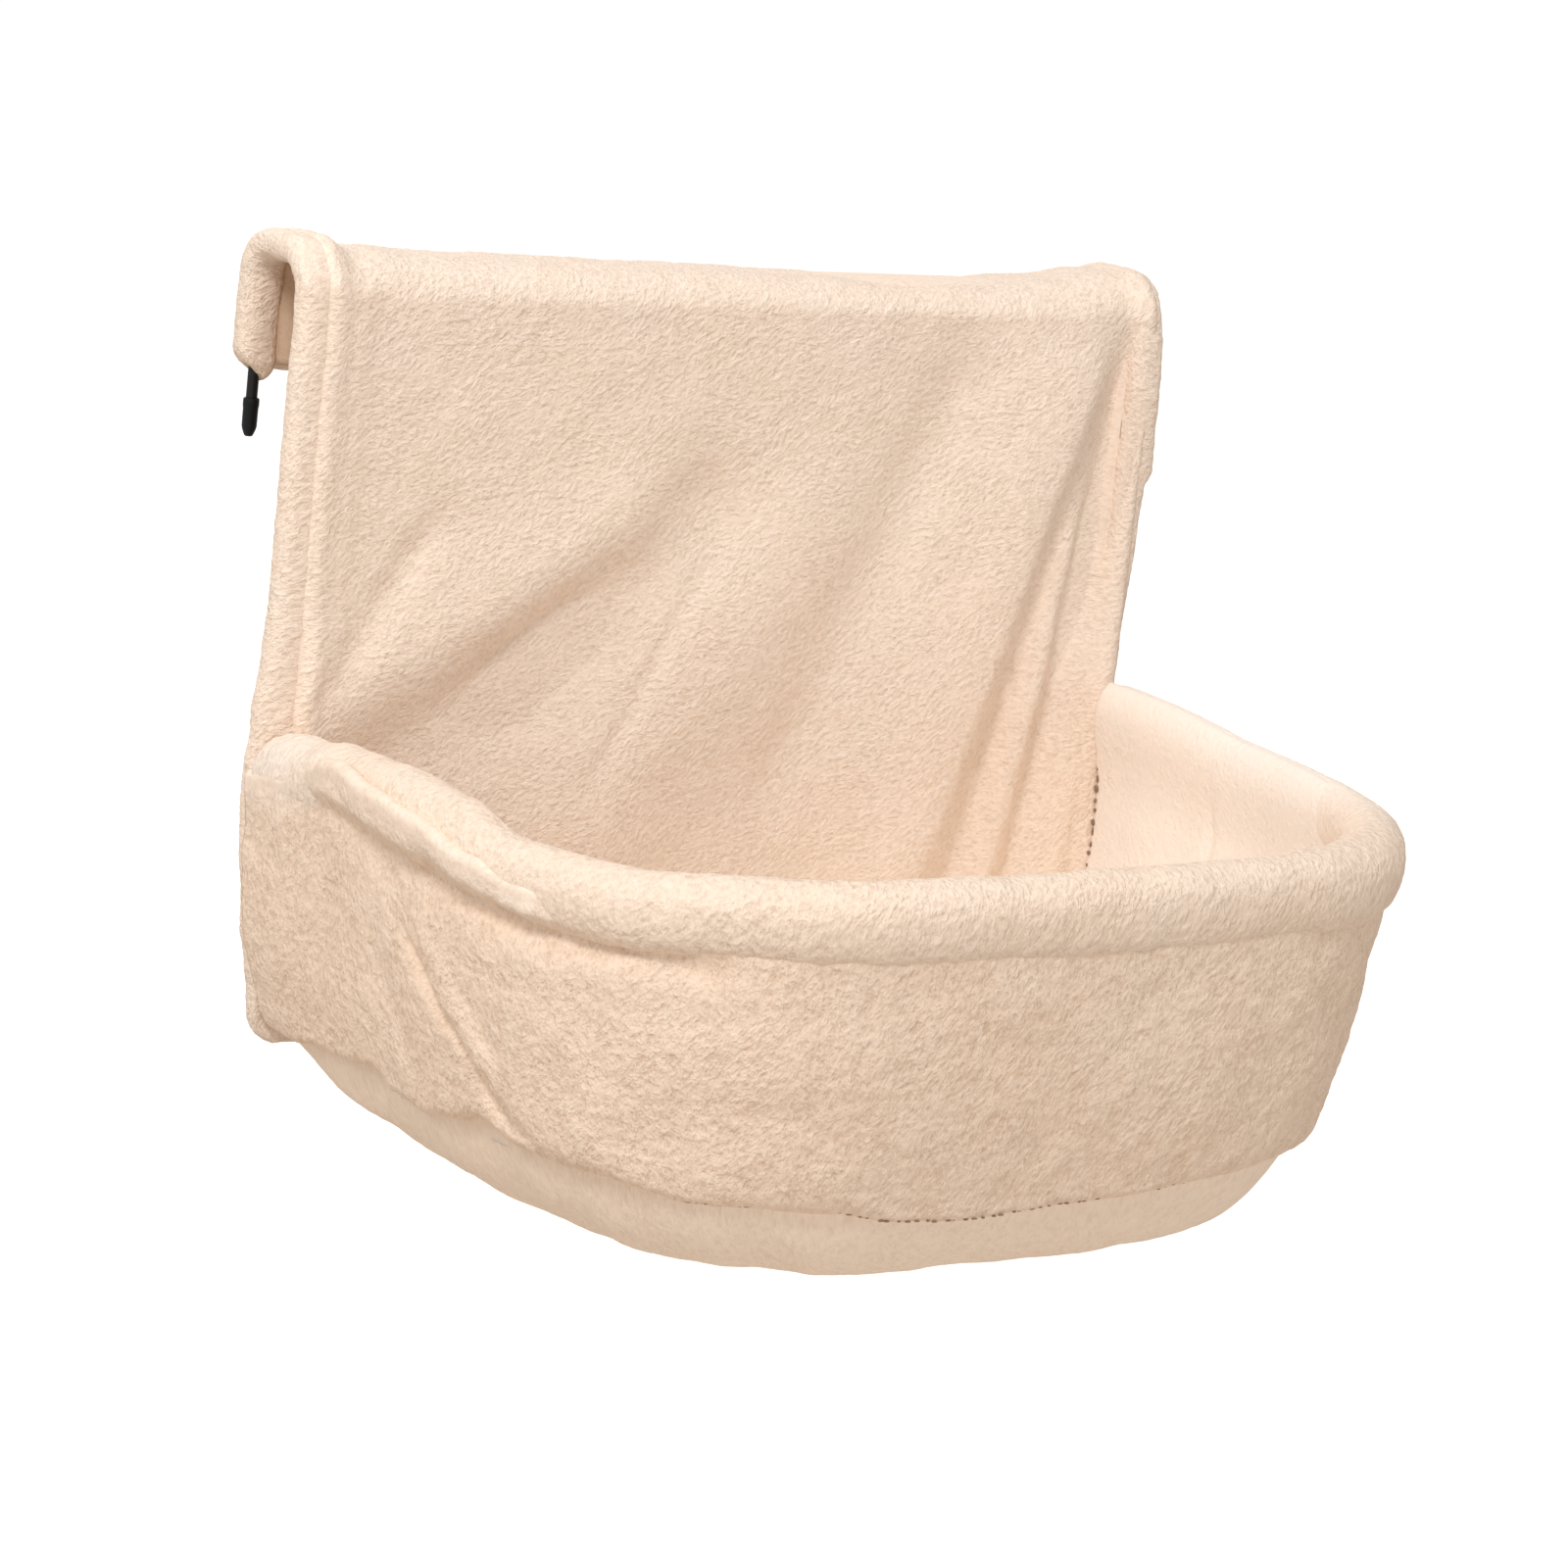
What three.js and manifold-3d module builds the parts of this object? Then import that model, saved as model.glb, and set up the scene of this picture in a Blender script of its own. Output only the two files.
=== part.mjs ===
// Radiator cat bed: a plush cover on a wire frame that hooks over the top of a radiator.
// Millimetres, +X to the right seen from the room, +Y towards the radiator, +Z up.
// The origin is on the underside of the saddle, where the bed hangs on the radiator's top edge.
import * as THREE from 'three';
import { mergeVertices } from 'three/addons/utils/BufferGeometryUtils.js';
import Module from 'manifold-3d';

const wasm = await Module();
wasm.setup();

// Whole bed
const bedWidth = 450;
const bedDepth = 298;
const rimDrop = 200;
const wallHeight = 130;
const touchGap = 0.3;
const cutOverrun = 3;

// Hanging frame of bent wire
const rodDiameter = 5;
const hookSpace = 38;
const saddleCornerRadius = 10;
const flapLength = 50;
const rodShowing = 12;
const footBendRadius = 12;
const ferruleLength = 60;
const ferruleWall = 1;
const socketLength = 26;
const socketWall = 1;
const socketFloor = 2;

// Black caps on the rod tips
const capDiameter = 6.8;
const capLength = 16.5;
const capMouth = 9;
const capNoseLength = 4;
const capRimWidth = 0.5;

// Cloth of the hanging panel
const channelWidth = 18;
const channelThickness = 13;
const liningThickness = 2;
const panelPlush = 5;
const panelPuff = 3;
const topSag = 2.5;

// Rolled rim
const rimDiameter = 27;
const rimPlush = 3.5;
const rimCurveShare = 3.4;

// Basket wall
const wallPlush = 3.5;
const wallFoam = 5;
const wallLining = 2.5;
const wallOverhang = 9;
const wallTaper = 22;
const wallBulge = 4;

// Base and floor
const baseCloth = 2.5;
const baseSag = 37;
const bagCurveShare = 8;
const floorFoam = 22;
const floorLining = 2.5;
const floorClearance = 2;
const floorLift = 5;
const zipStrip = 30;
const floorFrontShare = 0.995;

// Zip under the rear edge of the base
const zipMargin = 60;
const zipTapeWidth = 10;
const zipTapeThickness = 0.8;
const zipTapeTail = 7;
const zipChainWidth = 2;
const zipChainHeight = 2;
const zipSlot = 1.2;
const zipStopLength = 3;
const sliderLength = 11;
const sliderWidth = 9;
const sliderPlate = 1;
const bailWidth = 1.6;
const bailThickness = 1.3;
const bailSpace = 2;
const pullWidth = 5.6;
const pullThickness = 1.2;
const pullLength = 22;
const pullEye = 3.6;
const pullArm = 1.2;

// Smoothness of the curved pieces
const rodSides = 8;
const channelSides = 12;
const rimSides = 10;
const bendSteps = 5;
const rimSteps = 32;
const turnedSides = 16;
const floorColumns = 12;
const floorRows = 12;
const panelColumns = 20;
const panelRows = 15;
const flapRows = 2;
const liningColumns = 3;
const wallRows = 3;
const pullSteps = 8;

// Places worked out from the sizes
const rodRadius = rodDiameter / 2;
const rodX = (bedWidth - channelWidth) / 2;
const rodY = -(hookSpace + channelThickness) / 2;
const rodTop = channelThickness / 2;
const rodBendRadius = saddleCornerRadius + channelThickness / 2;
const seamX = bedWidth / 2 - channelWidth;
const panelFront = rodY - channelThickness / 2;
const rimZ = -rimDrop;
const zipLength = bedWidth - 2 * zipMargin;
const hemZ = -(rimDrop + wallHeight);
const rimRadius = rimDiameter / 2;
const flapHem = -flapLength;
const capTop = flapHem - rodShowing;
const panelFoot = hemZ + channelWidth / 2 + touchGap;

const colours = {
  plush: { color: 0xe5cbb5, roughness: 0.95, metalness: 0 },
  lining: { color: 0xf3dac8, roughness: 0.95, metalness: 0 },
  baseCloth: { color: 0xe1c8b1, roughness: 0.9, metalness: 0 },
  wadding: { color: 0xf4f2ec, roughness: 1, metalness: 0 },
  foam: { color: 0xece4cf, roughness: 1, metalness: 0 },
  wire: { color: 0x15171a, roughness: 0.45, metalness: 0.3 },
  plated: { color: 0xa9abad, roughness: 0.35, metalness: 0.9 },
  cap: { color: 0x101114, roughness: 0.55, metalness: 0 },
  zip: { color: 0xd9bfa6, roughness: 0.7, metalness: 0 },
};

const bed = new THREE.Group();

function addPiece(name, geometry, colour) {
  const mesh = new THREE.Mesh(geometry, new THREE.MeshStandardMaterial(colours[colour]));
  mesh.name = name;
  bed.add(mesh);
  return mesh;
}

// Merges shared corners and turns the faces outwards.
function closed(geometry) {
  geometry.deleteAttribute('normal');
  geometry.deleteAttribute('uv');
  const merged = mergeVertices(geometry);
  const spots = merged.getAttribute('position');
  const index = merged.getIndex();
  const a = new THREE.Vector3();
  const b = new THREE.Vector3();
  const c = new THREE.Vector3();
  let volume = 0;
  for (let i = 0; i < index.count; i += 3) {
    a.fromBufferAttribute(spots, index.getX(i));
    b.fromBufferAttribute(spots, index.getX(i + 1));
    c.fromBufferAttribute(spots, index.getX(i + 2));
    volume += a.dot(b.cross(c));
  }
  if (volume < 0) {
    index.array.reverse();
  }
  merged.computeVertexNormals();
  return merged;
}

function toSolid(geometry) {
  const merged = closed(geometry);
  return new wasm.Manifold(new wasm.Mesh({
    numProp: 3,
    vertProperties: new Float32Array(merged.getAttribute('position').array),
    triVerts: new Uint32Array(merged.getIndex().array),
  }));
}

function fromSolid(solid) {
  const mesh = solid.getMesh();
  const geometry = new THREE.BufferGeometry();
  geometry.setAttribute('position', new THREE.BufferAttribute(mesh.vertProperties, mesh.numProp));
  geometry.setIndex(new THREE.BufferAttribute(mesh.triVerts, 1));
  geometry.computeVertexNormals();
  return geometry;
}

function cut(body, ...tools) {
  let solid = toSolid(body);
  for (const tool of tools) {
    solid = solid.subtract(toSolid(tool));
  }
  return fromSolid(solid);
}

function join(...bodies) {
  let solid = toSolid(bodies[0]);
  for (const body of bodies.slice(1)) {
    solid = solid.add(toSolid(body));
  }
  return fromSolid(solid);
}

// A path with its stations where the builder of the piece wants them.
class StationPath extends THREE.Curve {
  constructor(stations) {
    super();
    this.stations = stations;
    this.steps = stations.length - 1;
  }

  getPointAt(share) {
    const place = share * this.steps;
    const first = Math.min(Math.floor(place), this.steps - 1);
    return this.stations[first].clone().lerp(this.stations[first + 1], place - first);
  }

  getTangentAt(share) {
    const middle = Math.round(share * this.steps);
    const before = this.stations[Math.max(middle - 1, 0)];
    const here = this.stations[middle];
    const after = this.stations[Math.min(middle + 1, this.steps)];
    const arriving = here.clone().sub(before).normalize();
    const leaving = after.clone().sub(here).normalize();
    return arriving.add(leaving).normalize();
  }
}

function oval(halfX, halfY, sides) {
  const points = [];
  for (let i = 0; i < sides; i += 1) {
    const angle = (i / sides) * Math.PI * 2;
    points.push(new THREE.Vector2(Math.cos(angle) * halfX, Math.sin(angle) * halfY));
  }
  return points;
}

function sweep(outline, stations, bore) {
  const section = new THREE.Shape(outline);
  if (bore) {
    section.holes.push(new THREE.Path(bore));
  }
  const path = new StationPath(stations);
  return closed(new THREE.ExtrudeGeometry(section, {
    steps: path.steps, bevelEnabled: false, extrudePath: path,
  }));
}

// A sheet with columns across, rows along and two faces, put in place by a function of shares.
// Both faces are split along the same diagonals, so that layers follow each other closely.
function sheet(columns, rows, place) {
  const spots = [];
  const index = [];
  const corner = (column, row, face) => (row * (columns + 1) + column) * 2 + face;
  const patch = (a, b, c, d) => index.push(a, b, c, a, c, d);
  for (let row = 0; row <= rows; row += 1) {
    for (let column = 0; column <= columns; column += 1) {
      spots.push(place(column / columns, 0, row / rows), place(column / columns, 1, row / rows));
    }
  }
  for (let row = 0; row < rows; row += 1) {
    for (let column = 0; column < columns; column += 1) {
      patch(corner(column, row, 1), corner(column + 1, row, 1),
        corner(column + 1, row + 1, 1), corner(column, row + 1, 1));
      patch(corner(column, row, 0), corner(column, row + 1, 0),
        corner(column + 1, row + 1, 0), corner(column + 1, row, 0));
    }
    patch(corner(0, row, 0), corner(0, row, 1), corner(0, row + 1, 1), corner(0, row + 1, 0));
    patch(corner(columns, row, 1), corner(columns, row, 0),
      corner(columns, row + 1, 0), corner(columns, row + 1, 1));
  }
  for (let column = 0; column < columns; column += 1) {
    patch(corner(column, 0, 1), corner(column, 0, 0), corner(column + 1, 0, 0), corner(column + 1, 0, 1));
    patch(corner(column, rows, 0), corner(column, rows, 1),
      corner(column + 1, rows, 1), corner(column + 1, rows, 0));
  }
  const geometry = new THREE.BufferGeometry().setFromPoints(spots);
  geometry.setIndex(index);
  return closed(geometry);
}

function turned(profile) {
  return closed(new THREE.LatheGeometry(profile, turnedSides));
}

function block(sizeX, sizeY, sizeZ, x, y, z) {
  return closed(new THREE.BoxGeometry(sizeX, sizeY, sizeZ).translate(x, y, z));
}

// Side view of the hook: up the panel, over the radiator's top and down the flap.
function hookLine(footZ, hemLineZ, frontRows, topShares, backRows, arcSteps) {
  const line = [];
  const arcZ = rodTop - rodBendRadius;
  const flatHalf = -rodY - rodBendRadius;
  for (let i = 0; i < frontRows; i += 1) {
    line.push({ y: rodY, z: THREE.MathUtils.lerp(footZ, arcZ, i / frontRows), turn: 0 });
  }
  for (let i = 0; i < arcSteps; i += 1) {
    line.push(hookArcPoint(-flatHalf, arcZ, (i / arcSteps) * (Math.PI / 2)));
  }
  for (const topShare of topShares) {
    line.push({ y: THREE.MathUtils.lerp(-flatHalf, flatHalf, topShare), z: rodTop, turn: Math.PI / 2 });
  }
  for (let i = 1; i <= arcSteps; i += 1) {
    line.push(hookArcPoint(flatHalf, arcZ, (1 + i / arcSteps) * (Math.PI / 2)));
  }
  for (let i = 1; i <= backRows; i += 1) {
    line.push({ y: -rodY, z: THREE.MathUtils.lerp(arcZ, hemLineZ, i / backRows), turn: Math.PI });
  }
  return line;
}

function hookArcPoint(centreY, centreZ, turn) {
  return {
    y: centreY - Math.cos(turn) * rodBendRadius,
    z: centreZ + Math.sin(turn) * rodBendRadius,
    turn,
  };
}

// A hook rod's route: from behind the flap over the saddle, down the panel and in along the foot.
function rodRoute(side, tailZ, innerX) {
  const x = side * rodX;
  const footTurnX = rodX - footBendRadius;
  const footTurnZ = hemZ + footBendRadius;
  const stations = [];
  for (const spot of hookLine(footTurnZ, tailZ, 1, [0, 1], 1, bendSteps).reverse()) {
    stations.push(new THREE.Vector3(x, spot.y, spot.z));
  }
  for (let i = 1; i <= bendSteps; i += 1) {
    const turn = (i / bendSteps) * (Math.PI / 2);
    const reach = footTurnX + Math.cos(turn) * footBendRadius;
    stations.push(new THREE.Vector3(side * reach, rodY, footTurnZ - Math.sin(turn) * footBendRadius));
  }
  stations.push(new THREE.Vector3(side * innerX, rodY, hemZ));
  return stations;
}

// The rim's plan, a squared half oval that starts and ends straight at the panel.
function rimPlan(startY) {
  const stations = [new THREE.Vector3(-rodX, startY, rimZ)];
  for (let i = 1; i < rimSteps; i += 1) {
    const angle = (i / rimSteps) * Math.PI;
    const across = -Math.sign(Math.cos(angle)) * Math.abs(Math.cos(angle)) ** (2 / rimCurveShare);
    const out = Math.sin(angle) ** (2 / rimCurveShare);
    stations.push(new THREE.Vector3(across * rodX, rodY - out * bedDepth, rimZ));
  }
  stations.push(new THREE.Vector3(rodX, startY, rimZ));
  return stations;
}

function makeHookRod(side) {
  const tail = capTop - capMouth;
  return sweep(oval(rodRadius, rodRadius, rodSides), rodRoute(side, tail, touchGap / 2));
}

function makeHookCap(side) {
  const outer = capDiameter / 2;
  const bore = rodRadius + touchGap;
  const tip = capTop - capLength;
  const profile = [
    new THREE.Vector2(0, tip),
    new THREE.Vector2(outer / 2, tip + capNoseLength / 4),
    new THREE.Vector2(outer, tip + capNoseLength),
    new THREE.Vector2(outer, capTop - capRimWidth),
    new THREE.Vector2(outer - capRimWidth / 2, capTop),
    new THREE.Vector2(bore, capTop),
    new THREE.Vector2(bore, capTop - capMouth - touchGap),
    new THREE.Vector2(0, capTop - capMouth - touchGap),
  ];
  return turned(profile).rotateX(Math.PI / 2).translate(side * rodX, -rodY, 0);
}

function ferruleOuter() {
  return rodRadius + touchGap + ferruleWall;
}

function tubeAlongX(outer, bore, length) {
  const profile = [
    new THREE.Vector2(bore, -length / 2),
    new THREE.Vector2(outer, -length / 2),
    new THREE.Vector2(outer, length / 2),
    new THREE.Vector2(bore, length / 2),
    new THREE.Vector2(bore, -length / 2),
  ];
  return turned(profile).rotateZ(Math.PI / 2).translate(0, rodY, hemZ);
}

function makeFootFerrule() {
  return tubeAlongX(ferruleOuter(), rodRadius + touchGap, ferruleLength);
}

function socketOuter() {
  return rodRadius + touchGap + socketWall;
}

function socketBack() {
  return rodY - rodRadius - touchGap;
}

function makeHoopSocket(side) {
  const bore = rodRadius + touchGap;
  const profile = [
    new THREE.Vector2(0, 0),
    new THREE.Vector2(socketOuter(), 0),
    new THREE.Vector2(socketOuter(), socketLength),
    new THREE.Vector2(bore, socketLength),
    new THREE.Vector2(bore, socketFloor),
    new THREE.Vector2(0, socketFloor),
  ];
  return turned(profile).rotateX(Math.PI).translate(side * rodX, socketBack(), rimZ);
}

function makeRimHoop() {
  const startY = socketBack() - socketFloor - touchGap;
  return sweep(oval(rodRadius, rodRadius, rodSides), rimPlan(startY));
}

// Cloth channel sewn round a hook rod, with a hole for the hoop socket and room for the ferrule.
function makeRodChannel(side) {
  const bore = oval(rodRadius + touchGap, rodRadius + touchGap, rodSides);
  const outline = oval(channelThickness / 2, channelWidth / 2, channelSides);
  const channel = sweep(outline, rodRoute(side, flapHem, touchGap / 2), bore);
  const hole = new THREE.CylinderGeometry(
    socketOuter() + touchGap, socketOuter() + touchGap, channelThickness, turnedSides,
  );
  hole.translate(side * rodX, rodY - channelThickness / 2, rimZ);
  const room = tubeRoom(ferruleOuter() + touchGap, ferruleLength + 2 * touchGap);
  return cut(channel, hole, room);
}

function tubeRoom(radius, length) {
  const room = new THREE.CylinderGeometry(radius, radius, length, turnedSides);
  return room.rotateZ(Math.PI / 2).translate(0, rodY, hemZ);
}

// Main folds of the hanging cloth. Ends are shares of the panel's width and of its drop. Heights and
// widths are shares of a fold's usual height and half width, and a valley's height is below zero.
const foldHeight = 6.5;
const foldWidth = 16;
const foldShares = [
  { from: [0.06, 0.57], to: [0.38, 0.33], height: 0.7, width: 0.9 },
  { from: [0.14, 0.64], to: [0.46, 0.34], height: -0.9, width: 1.1 },
  { from: [0.36, 0.78], to: [0.57, 0.36], height: 0.5, width: 1.8 },
  { from: [0.56, 0.72], to: [0.73, 0.16], height: -0.6, width: 1.3 },
  { from: [0.68, 0.86], to: [0.86, 0.18], height: 1, width: 1.5 },
  { from: [0.78, 0.84], to: [0.9, 0.35], height: -0.9, width: 0.9 },
  { from: [0.84, 0.82], to: [0.93, 0.4], height: 0.8, width: 0.8 },
];
const foldEdgeShare = 0.07;
const foldFootShare = 0.14;

function foldAt(acrossShare, dropShare) {
  const dropSize = -hemZ;
  const spot = new THREE.Vector2(acrossShare * bedWidth, dropShare * dropSize);
  const line = new THREE.Line3();
  const nearest = new THREE.Vector3();
  let lift = 0;
  for (const fold of foldShares) {
    line.start.set(fold.from[0] * bedWidth, fold.from[1] * dropSize, 0);
    line.end.set(fold.to[0] * bedWidth, fold.to[1] * dropSize, 0);
    const at = new THREE.Vector3(spot.x, spot.y, 0);
    const distance = line.closestPointToPoint(at, true, nearest).distanceTo(at);
    lift += fold.height * Math.exp(-((distance / (fold.width * foldWidth)) ** 2));
  }
  const edge = THREE.MathUtils.smoothstep(Math.min(acrossShare, 1 - acrossShare), 0, foldEdgeShare);
  const foot = THREE.MathUtils.smoothstep(1 - dropShare, foldEdgeShare, foldFootShare);
  return lift * foldHeight * edge * foot;
}

// A cloth of the panel between two distances from the rod line, measured away from the radiator.
// Its lower corners are drawn up to clear the bends of the channels.
function panelCloth(columns, line, innerOff, outerOff, shape) {
  const half = seamX - touchGap;
  return sheet(columns, line.length - 1, (across, face, along) => {
    const spot = line[Math.round(along * (line.length - 1))];
    const x = THREE.MathUtils.lerp(-half, half, across);
    const off = THREE.MathUtils.lerp(innerOff, outerOff, face) + shape(across, spot, face);
    const corner = along === 0 && Math.abs(x) === half ? footBendRadius - channelWidth / 2 : 0;
    const z = spot.z + Math.sin(spot.turn) * off + corner;
    return new THREE.Vector3(x, spot.y - Math.cos(spot.turn) * off, z);
  });
}

function makePanelPlush() {
  const inner = panelPuff + liningThickness - channelThickness / 2;
  const line = hookLine(panelFoot, flapHem, panelRows, [0, 1], flapRows, bendSteps - 1);
  return panelCloth(panelColumns, line, inner, inner + panelPlush, (across, spot, face) => {
    const onFront = spot.turn === 0 ? 1 : 0;
    const acrossShare = THREE.MathUtils.lerp(channelWidth, bedWidth - channelWidth, across) / bedWidth;
    const fold = onFront * foldAt(acrossShare, spot.z / hemZ);
    const sag = topSag * Math.sin(across * Math.PI) * Math.sin(spot.turn) * face;
    return THREE.MathUtils.clamp(fold, touchGap - panelPuff, foldHeight) - sag;
  });
}

function makePanelLining() {
  const outer = liningThickness - channelThickness / 2;
  const flatShares = [0, 0.4, 1];
  const line = hookLine(panelFoot, flapHem, 1, flatShares, 1, bendSteps - 1);
  return panelCloth(liningColumns, line, -channelThickness / 2, outer, () => 0);
}

function makeRimTube(outerRadius, boreRadius) {
  const stations = rimPlan(panelFront - touchGap);
  return sweep(oval(outerRadius, outerRadius, rimSides), stations, oval(boreRadius, boreRadius, rimSides));
}

function waddingRadius() {
  return rimRadius - rimPlush - touchGap;
}

// The bore's flats clear the round sockets.
function waddingBore() {
  return (socketOuter() + 2 * touchGap) / Math.cos(Math.PI / rimSides);
}

// The wall hangs under the rim. Offsets are measured outwards from the rim's middle line.
function wallBand(outerTop, thickness) {
  const stations = rimPlan(panelFront - touchGap);
  const steps = stations.length - 1;
  const topZ = rimZ - rimRadius - touchGap;
  return sheet(steps, wallRows, (around, face, down) => {
    const i = Math.round(around * steps);
    const out = outwards(stations, i);
    const bulge = wallBulge * Math.sin(down * Math.PI);
    const off = outerTop - (1 - face) * thickness - wallTaper * down + bulge;
    const spot = stations[i].clone().addScaledVector(out, off);
    spot.y = Math.min(spot.y, panelFront - touchGap);
    spot.z = THREE.MathUtils.lerp(topZ, hemZ, down);
    return spot;
  });
}

function outwards(stations, i) {
  const before = stations[Math.max(i - 1, 0)];
  const after = stations[Math.min(i + 1, stations.length - 1)];
  const along = after.clone().sub(before).normalize();
  if (i === 0 || i === stations.length - 1) {
    return new THREE.Vector3(Math.sign(stations[i].x), 0, 0);
  }
  return new THREE.Vector3(along.y, -along.x, 0);
}

// Plan of the floor: rows run forward from the panel and columns from left to right.
// The first row is the flat strip that holds the zip.
function floorSpot(column, row) {
  const depth = bedDepth - floorInset() - (rodY - floorRear());
  const halfWidth = rodX - floorInset();
  const run = depth * floorFrontShare - zipStrip;
  const out = row === 0 ? 0 : zipStrip + run * Math.sin(((row - 1) / (floorRows - 1)) * (Math.PI / 2));
  const side = (2 * column) / floorColumns - 1;
  const forwardShare = Math.max(out - zipStrip, 0) / run;
  const sag = (1 - side ** bagCurveShare) * (1 - (2 * forwardShare - 1) ** bagCurveShare);
  return { x: side * halfOval(out, depth, halfWidth), y: floorRear() - out, side, sag };
}

// The base has the floor's plan with a flange round it, on which the wall's foot is sewn.
function baseSpot(column, row) {
  const flange = floorInset() - wallFootInset(0);
  const spot = floorSpot(
    THREE.MathUtils.clamp(column, 0, floorColumns), THREE.MathUtils.clamp(row, 0, floorRows),
  );
  const depth = bedDepth - wallFootInset(0) - (rodY - floorRear());
  if (row > floorRows) {
    spot.y = floorRear() - depth * floorFrontShare;
  }
  const reach = halfOval(floorRear() - spot.y, depth, rodX - wallFootInset(0));
  if (column < 0 || column > floorColumns) {
    spot.x = spot.side * reach;
  } else if (row > floorRows) {
    spot.x = spot.side * (reach - flange / 2);
  }
  return spot;
}

function halfOval(out, depth, halfWidth) {
  return (1 - (out / depth) ** rimCurveShare) ** (1 / rimCurveShare) * halfWidth;
}

function wallFootInset(layersInside) {
  return wallTaper - wallOverhang + layersInside;
}

function floorInset() {
  return wallFootInset(wallPlush + wallFoam + wallLining + 2 * touchGap) + floorClearance;
}

function floorRear() {
  return panelFront - touchGap;
}

function makeBaseCloth() {
  const columns = floorColumns + 2;
  const rows = floorRows + 1;
  const cloth = sheet(columns, rows, (across, face, along) => {
    const spot = baseSpot(Math.round(across * columns) - 1, Math.round(along * rows));
    const top = hemZ - touchGap - baseSag * spot.sag;
    return new THREE.Vector3(spot.x, spot.y, face ? top : top - baseCloth);
  });
  const slot = new THREE.BoxGeometry(zipSlotLength(), zipSlotWidth(), baseCloth * 2 + cutOverrun);
  return cut(cloth, slot.translate(0, zipY(), hemZ));
}

function makeFloor(lowerOff, upperOff) {
  return sheet(floorColumns, floorRows, (across, face, along) => {
    const spot = floorSpot(Math.round(across * floorColumns), Math.round(along * floorRows));
    const under = hemZ - baseSag * spot.sag + floorLift * (1 - spot.sag) ** 2;
    return new THREE.Vector3(spot.x, spot.y, under + (face ? upperOff : lowerOff));
  });
}

function zipHalfSpan() {
  return zipSlot / 2 + zipChainWidth + touchGap + zipTapeWidth;
}

function zipY() {
  return panelFront - touchGap - zipHalfSpan();
}

function zipZ() {
  return hemZ - touchGap - baseCloth - touchGap - zipTapeThickness / 2;
}

function zipSlotWidth() {
  return sliderWidth + 2 * touchGap;
}

function zipSlotLength() {
  return zipLength + 2 * (zipStopLength + touchGap);
}

function makeZipTape(direction) {
  const middle = direction * (zipHalfSpan() - zipTapeWidth / 2);
  const length = zipLength + 2 * zipTapeTail;
  return block(length, zipTapeWidth, zipTapeThickness, 0, zipY() + middle, zipZ());
}

function makeZipChain(direction) {
  const middle = direction * (zipSlot / 2 + zipChainWidth / 2);
  return block(zipLength, zipChainWidth, zipChainHeight, 0, zipY() + middle, zipZ());
}

function makeZipStop(direction) {
  const x = direction * (zipLength / 2 + touchGap + zipStopLength / 2);
  const width = zipSlot + 2 * zipChainWidth;
  return block(zipStopLength, width, zipChainHeight, x, zipY(), zipZ());
}

function sliderRestX() {
  return zipLength / 2 - sliderLength / 2;
}

function sliderUnderside() {
  return zipZ() - zipChainHeight / 2 - touchGap - sliderPlate;
}

// Two plates on a thin web that runs between the chains, and a bail for the pull.
function makeZipSlider() {
  const x = sliderRestX();
  const plateOff = zipChainHeight / 2 + touchGap + sliderPlate / 2;
  const webWidth = zipSlot - 2 * touchGap;
  const webHeight = zipChainHeight + 2 * touchGap + sliderPlate;
  const upper = block(sliderLength, sliderWidth, sliderPlate, x, zipY(), zipZ() + plateOff);
  const lower = block(sliderLength, sliderWidth, sliderPlate, x, zipY(), zipZ() - plateOff);
  const web = block(sliderLength, webWidth, webHeight, x, zipY(), zipZ());
  const bailSpan = bailSpace + 2 * bailThickness;
  const bailDrop = bailSpace + bailThickness;
  const lapped = bailDrop + sliderPlate / 2;
  const bail = block(bailSpan, bailWidth, lapped, x, zipY(), sliderUnderside() - bailDrop + lapped / 2);
  const eye = block(bailSpace, bailWidth + cutOverrun, bailSpace, x, zipY(), sliderUnderside() - bailSpace / 2);
  return cut(join(upper, lower, web, bail), eye);
}

function pullPivotZ() {
  return sliderUnderside() - bailSpace / 2;
}

// A flat tab with an eye, hanging from the slider's bail.
function makeZipPull() {
  const half = pullWidth / 2;
  const top = pullThickness / 2;
  const outline = new THREE.Shape();
  outline.moveTo(-half, top);
  outline.lineTo(half, top);
  outline.lineTo(half, top - pullLength + half);
  outline.absarc(0, top - pullLength + half, half, 0, -Math.PI, true);
  outline.closePath();
  const eyeHalf = half - pullArm;
  const eye = new THREE.Path();
  eye.moveTo(-eyeHalf, -top);
  eye.lineTo(-eyeHalf, -top - pullEye);
  eye.lineTo(eyeHalf, -top - pullEye);
  eye.lineTo(eyeHalf, -top);
  eye.closePath();
  outline.holes.push(eye);
  const tab = new THREE.ExtrudeGeometry(outline, {
    depth: pullThickness, bevelEnabled: false, curveSegments: pullSteps,
  });
  tab.translate(0, 0, -pullThickness / 2).rotateX(Math.PI / 2).rotateZ(Math.PI / 2);
  return closed(tab).translate(sliderRestX(), zipY(), pullPivotZ());
}

// Wire frame
addPiece('hook_rod_left', makeHookRod(-1), 'wire');
addPiece('hook_rod_right', makeHookRod(1), 'wire');
addPiece('hook_cap_left', makeHookCap(-1), 'cap');
addPiece('hook_cap_right', makeHookCap(1), 'cap');
addPiece('foot_ferrule', makeFootFerrule(), 'plated');
addPiece('hoop_socket_left', makeHoopSocket(-1), 'wire');
addPiece('hoop_socket_right', makeHoopSocket(1), 'wire');
addPiece('rim_hoop', makeRimHoop(), 'wire');

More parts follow.
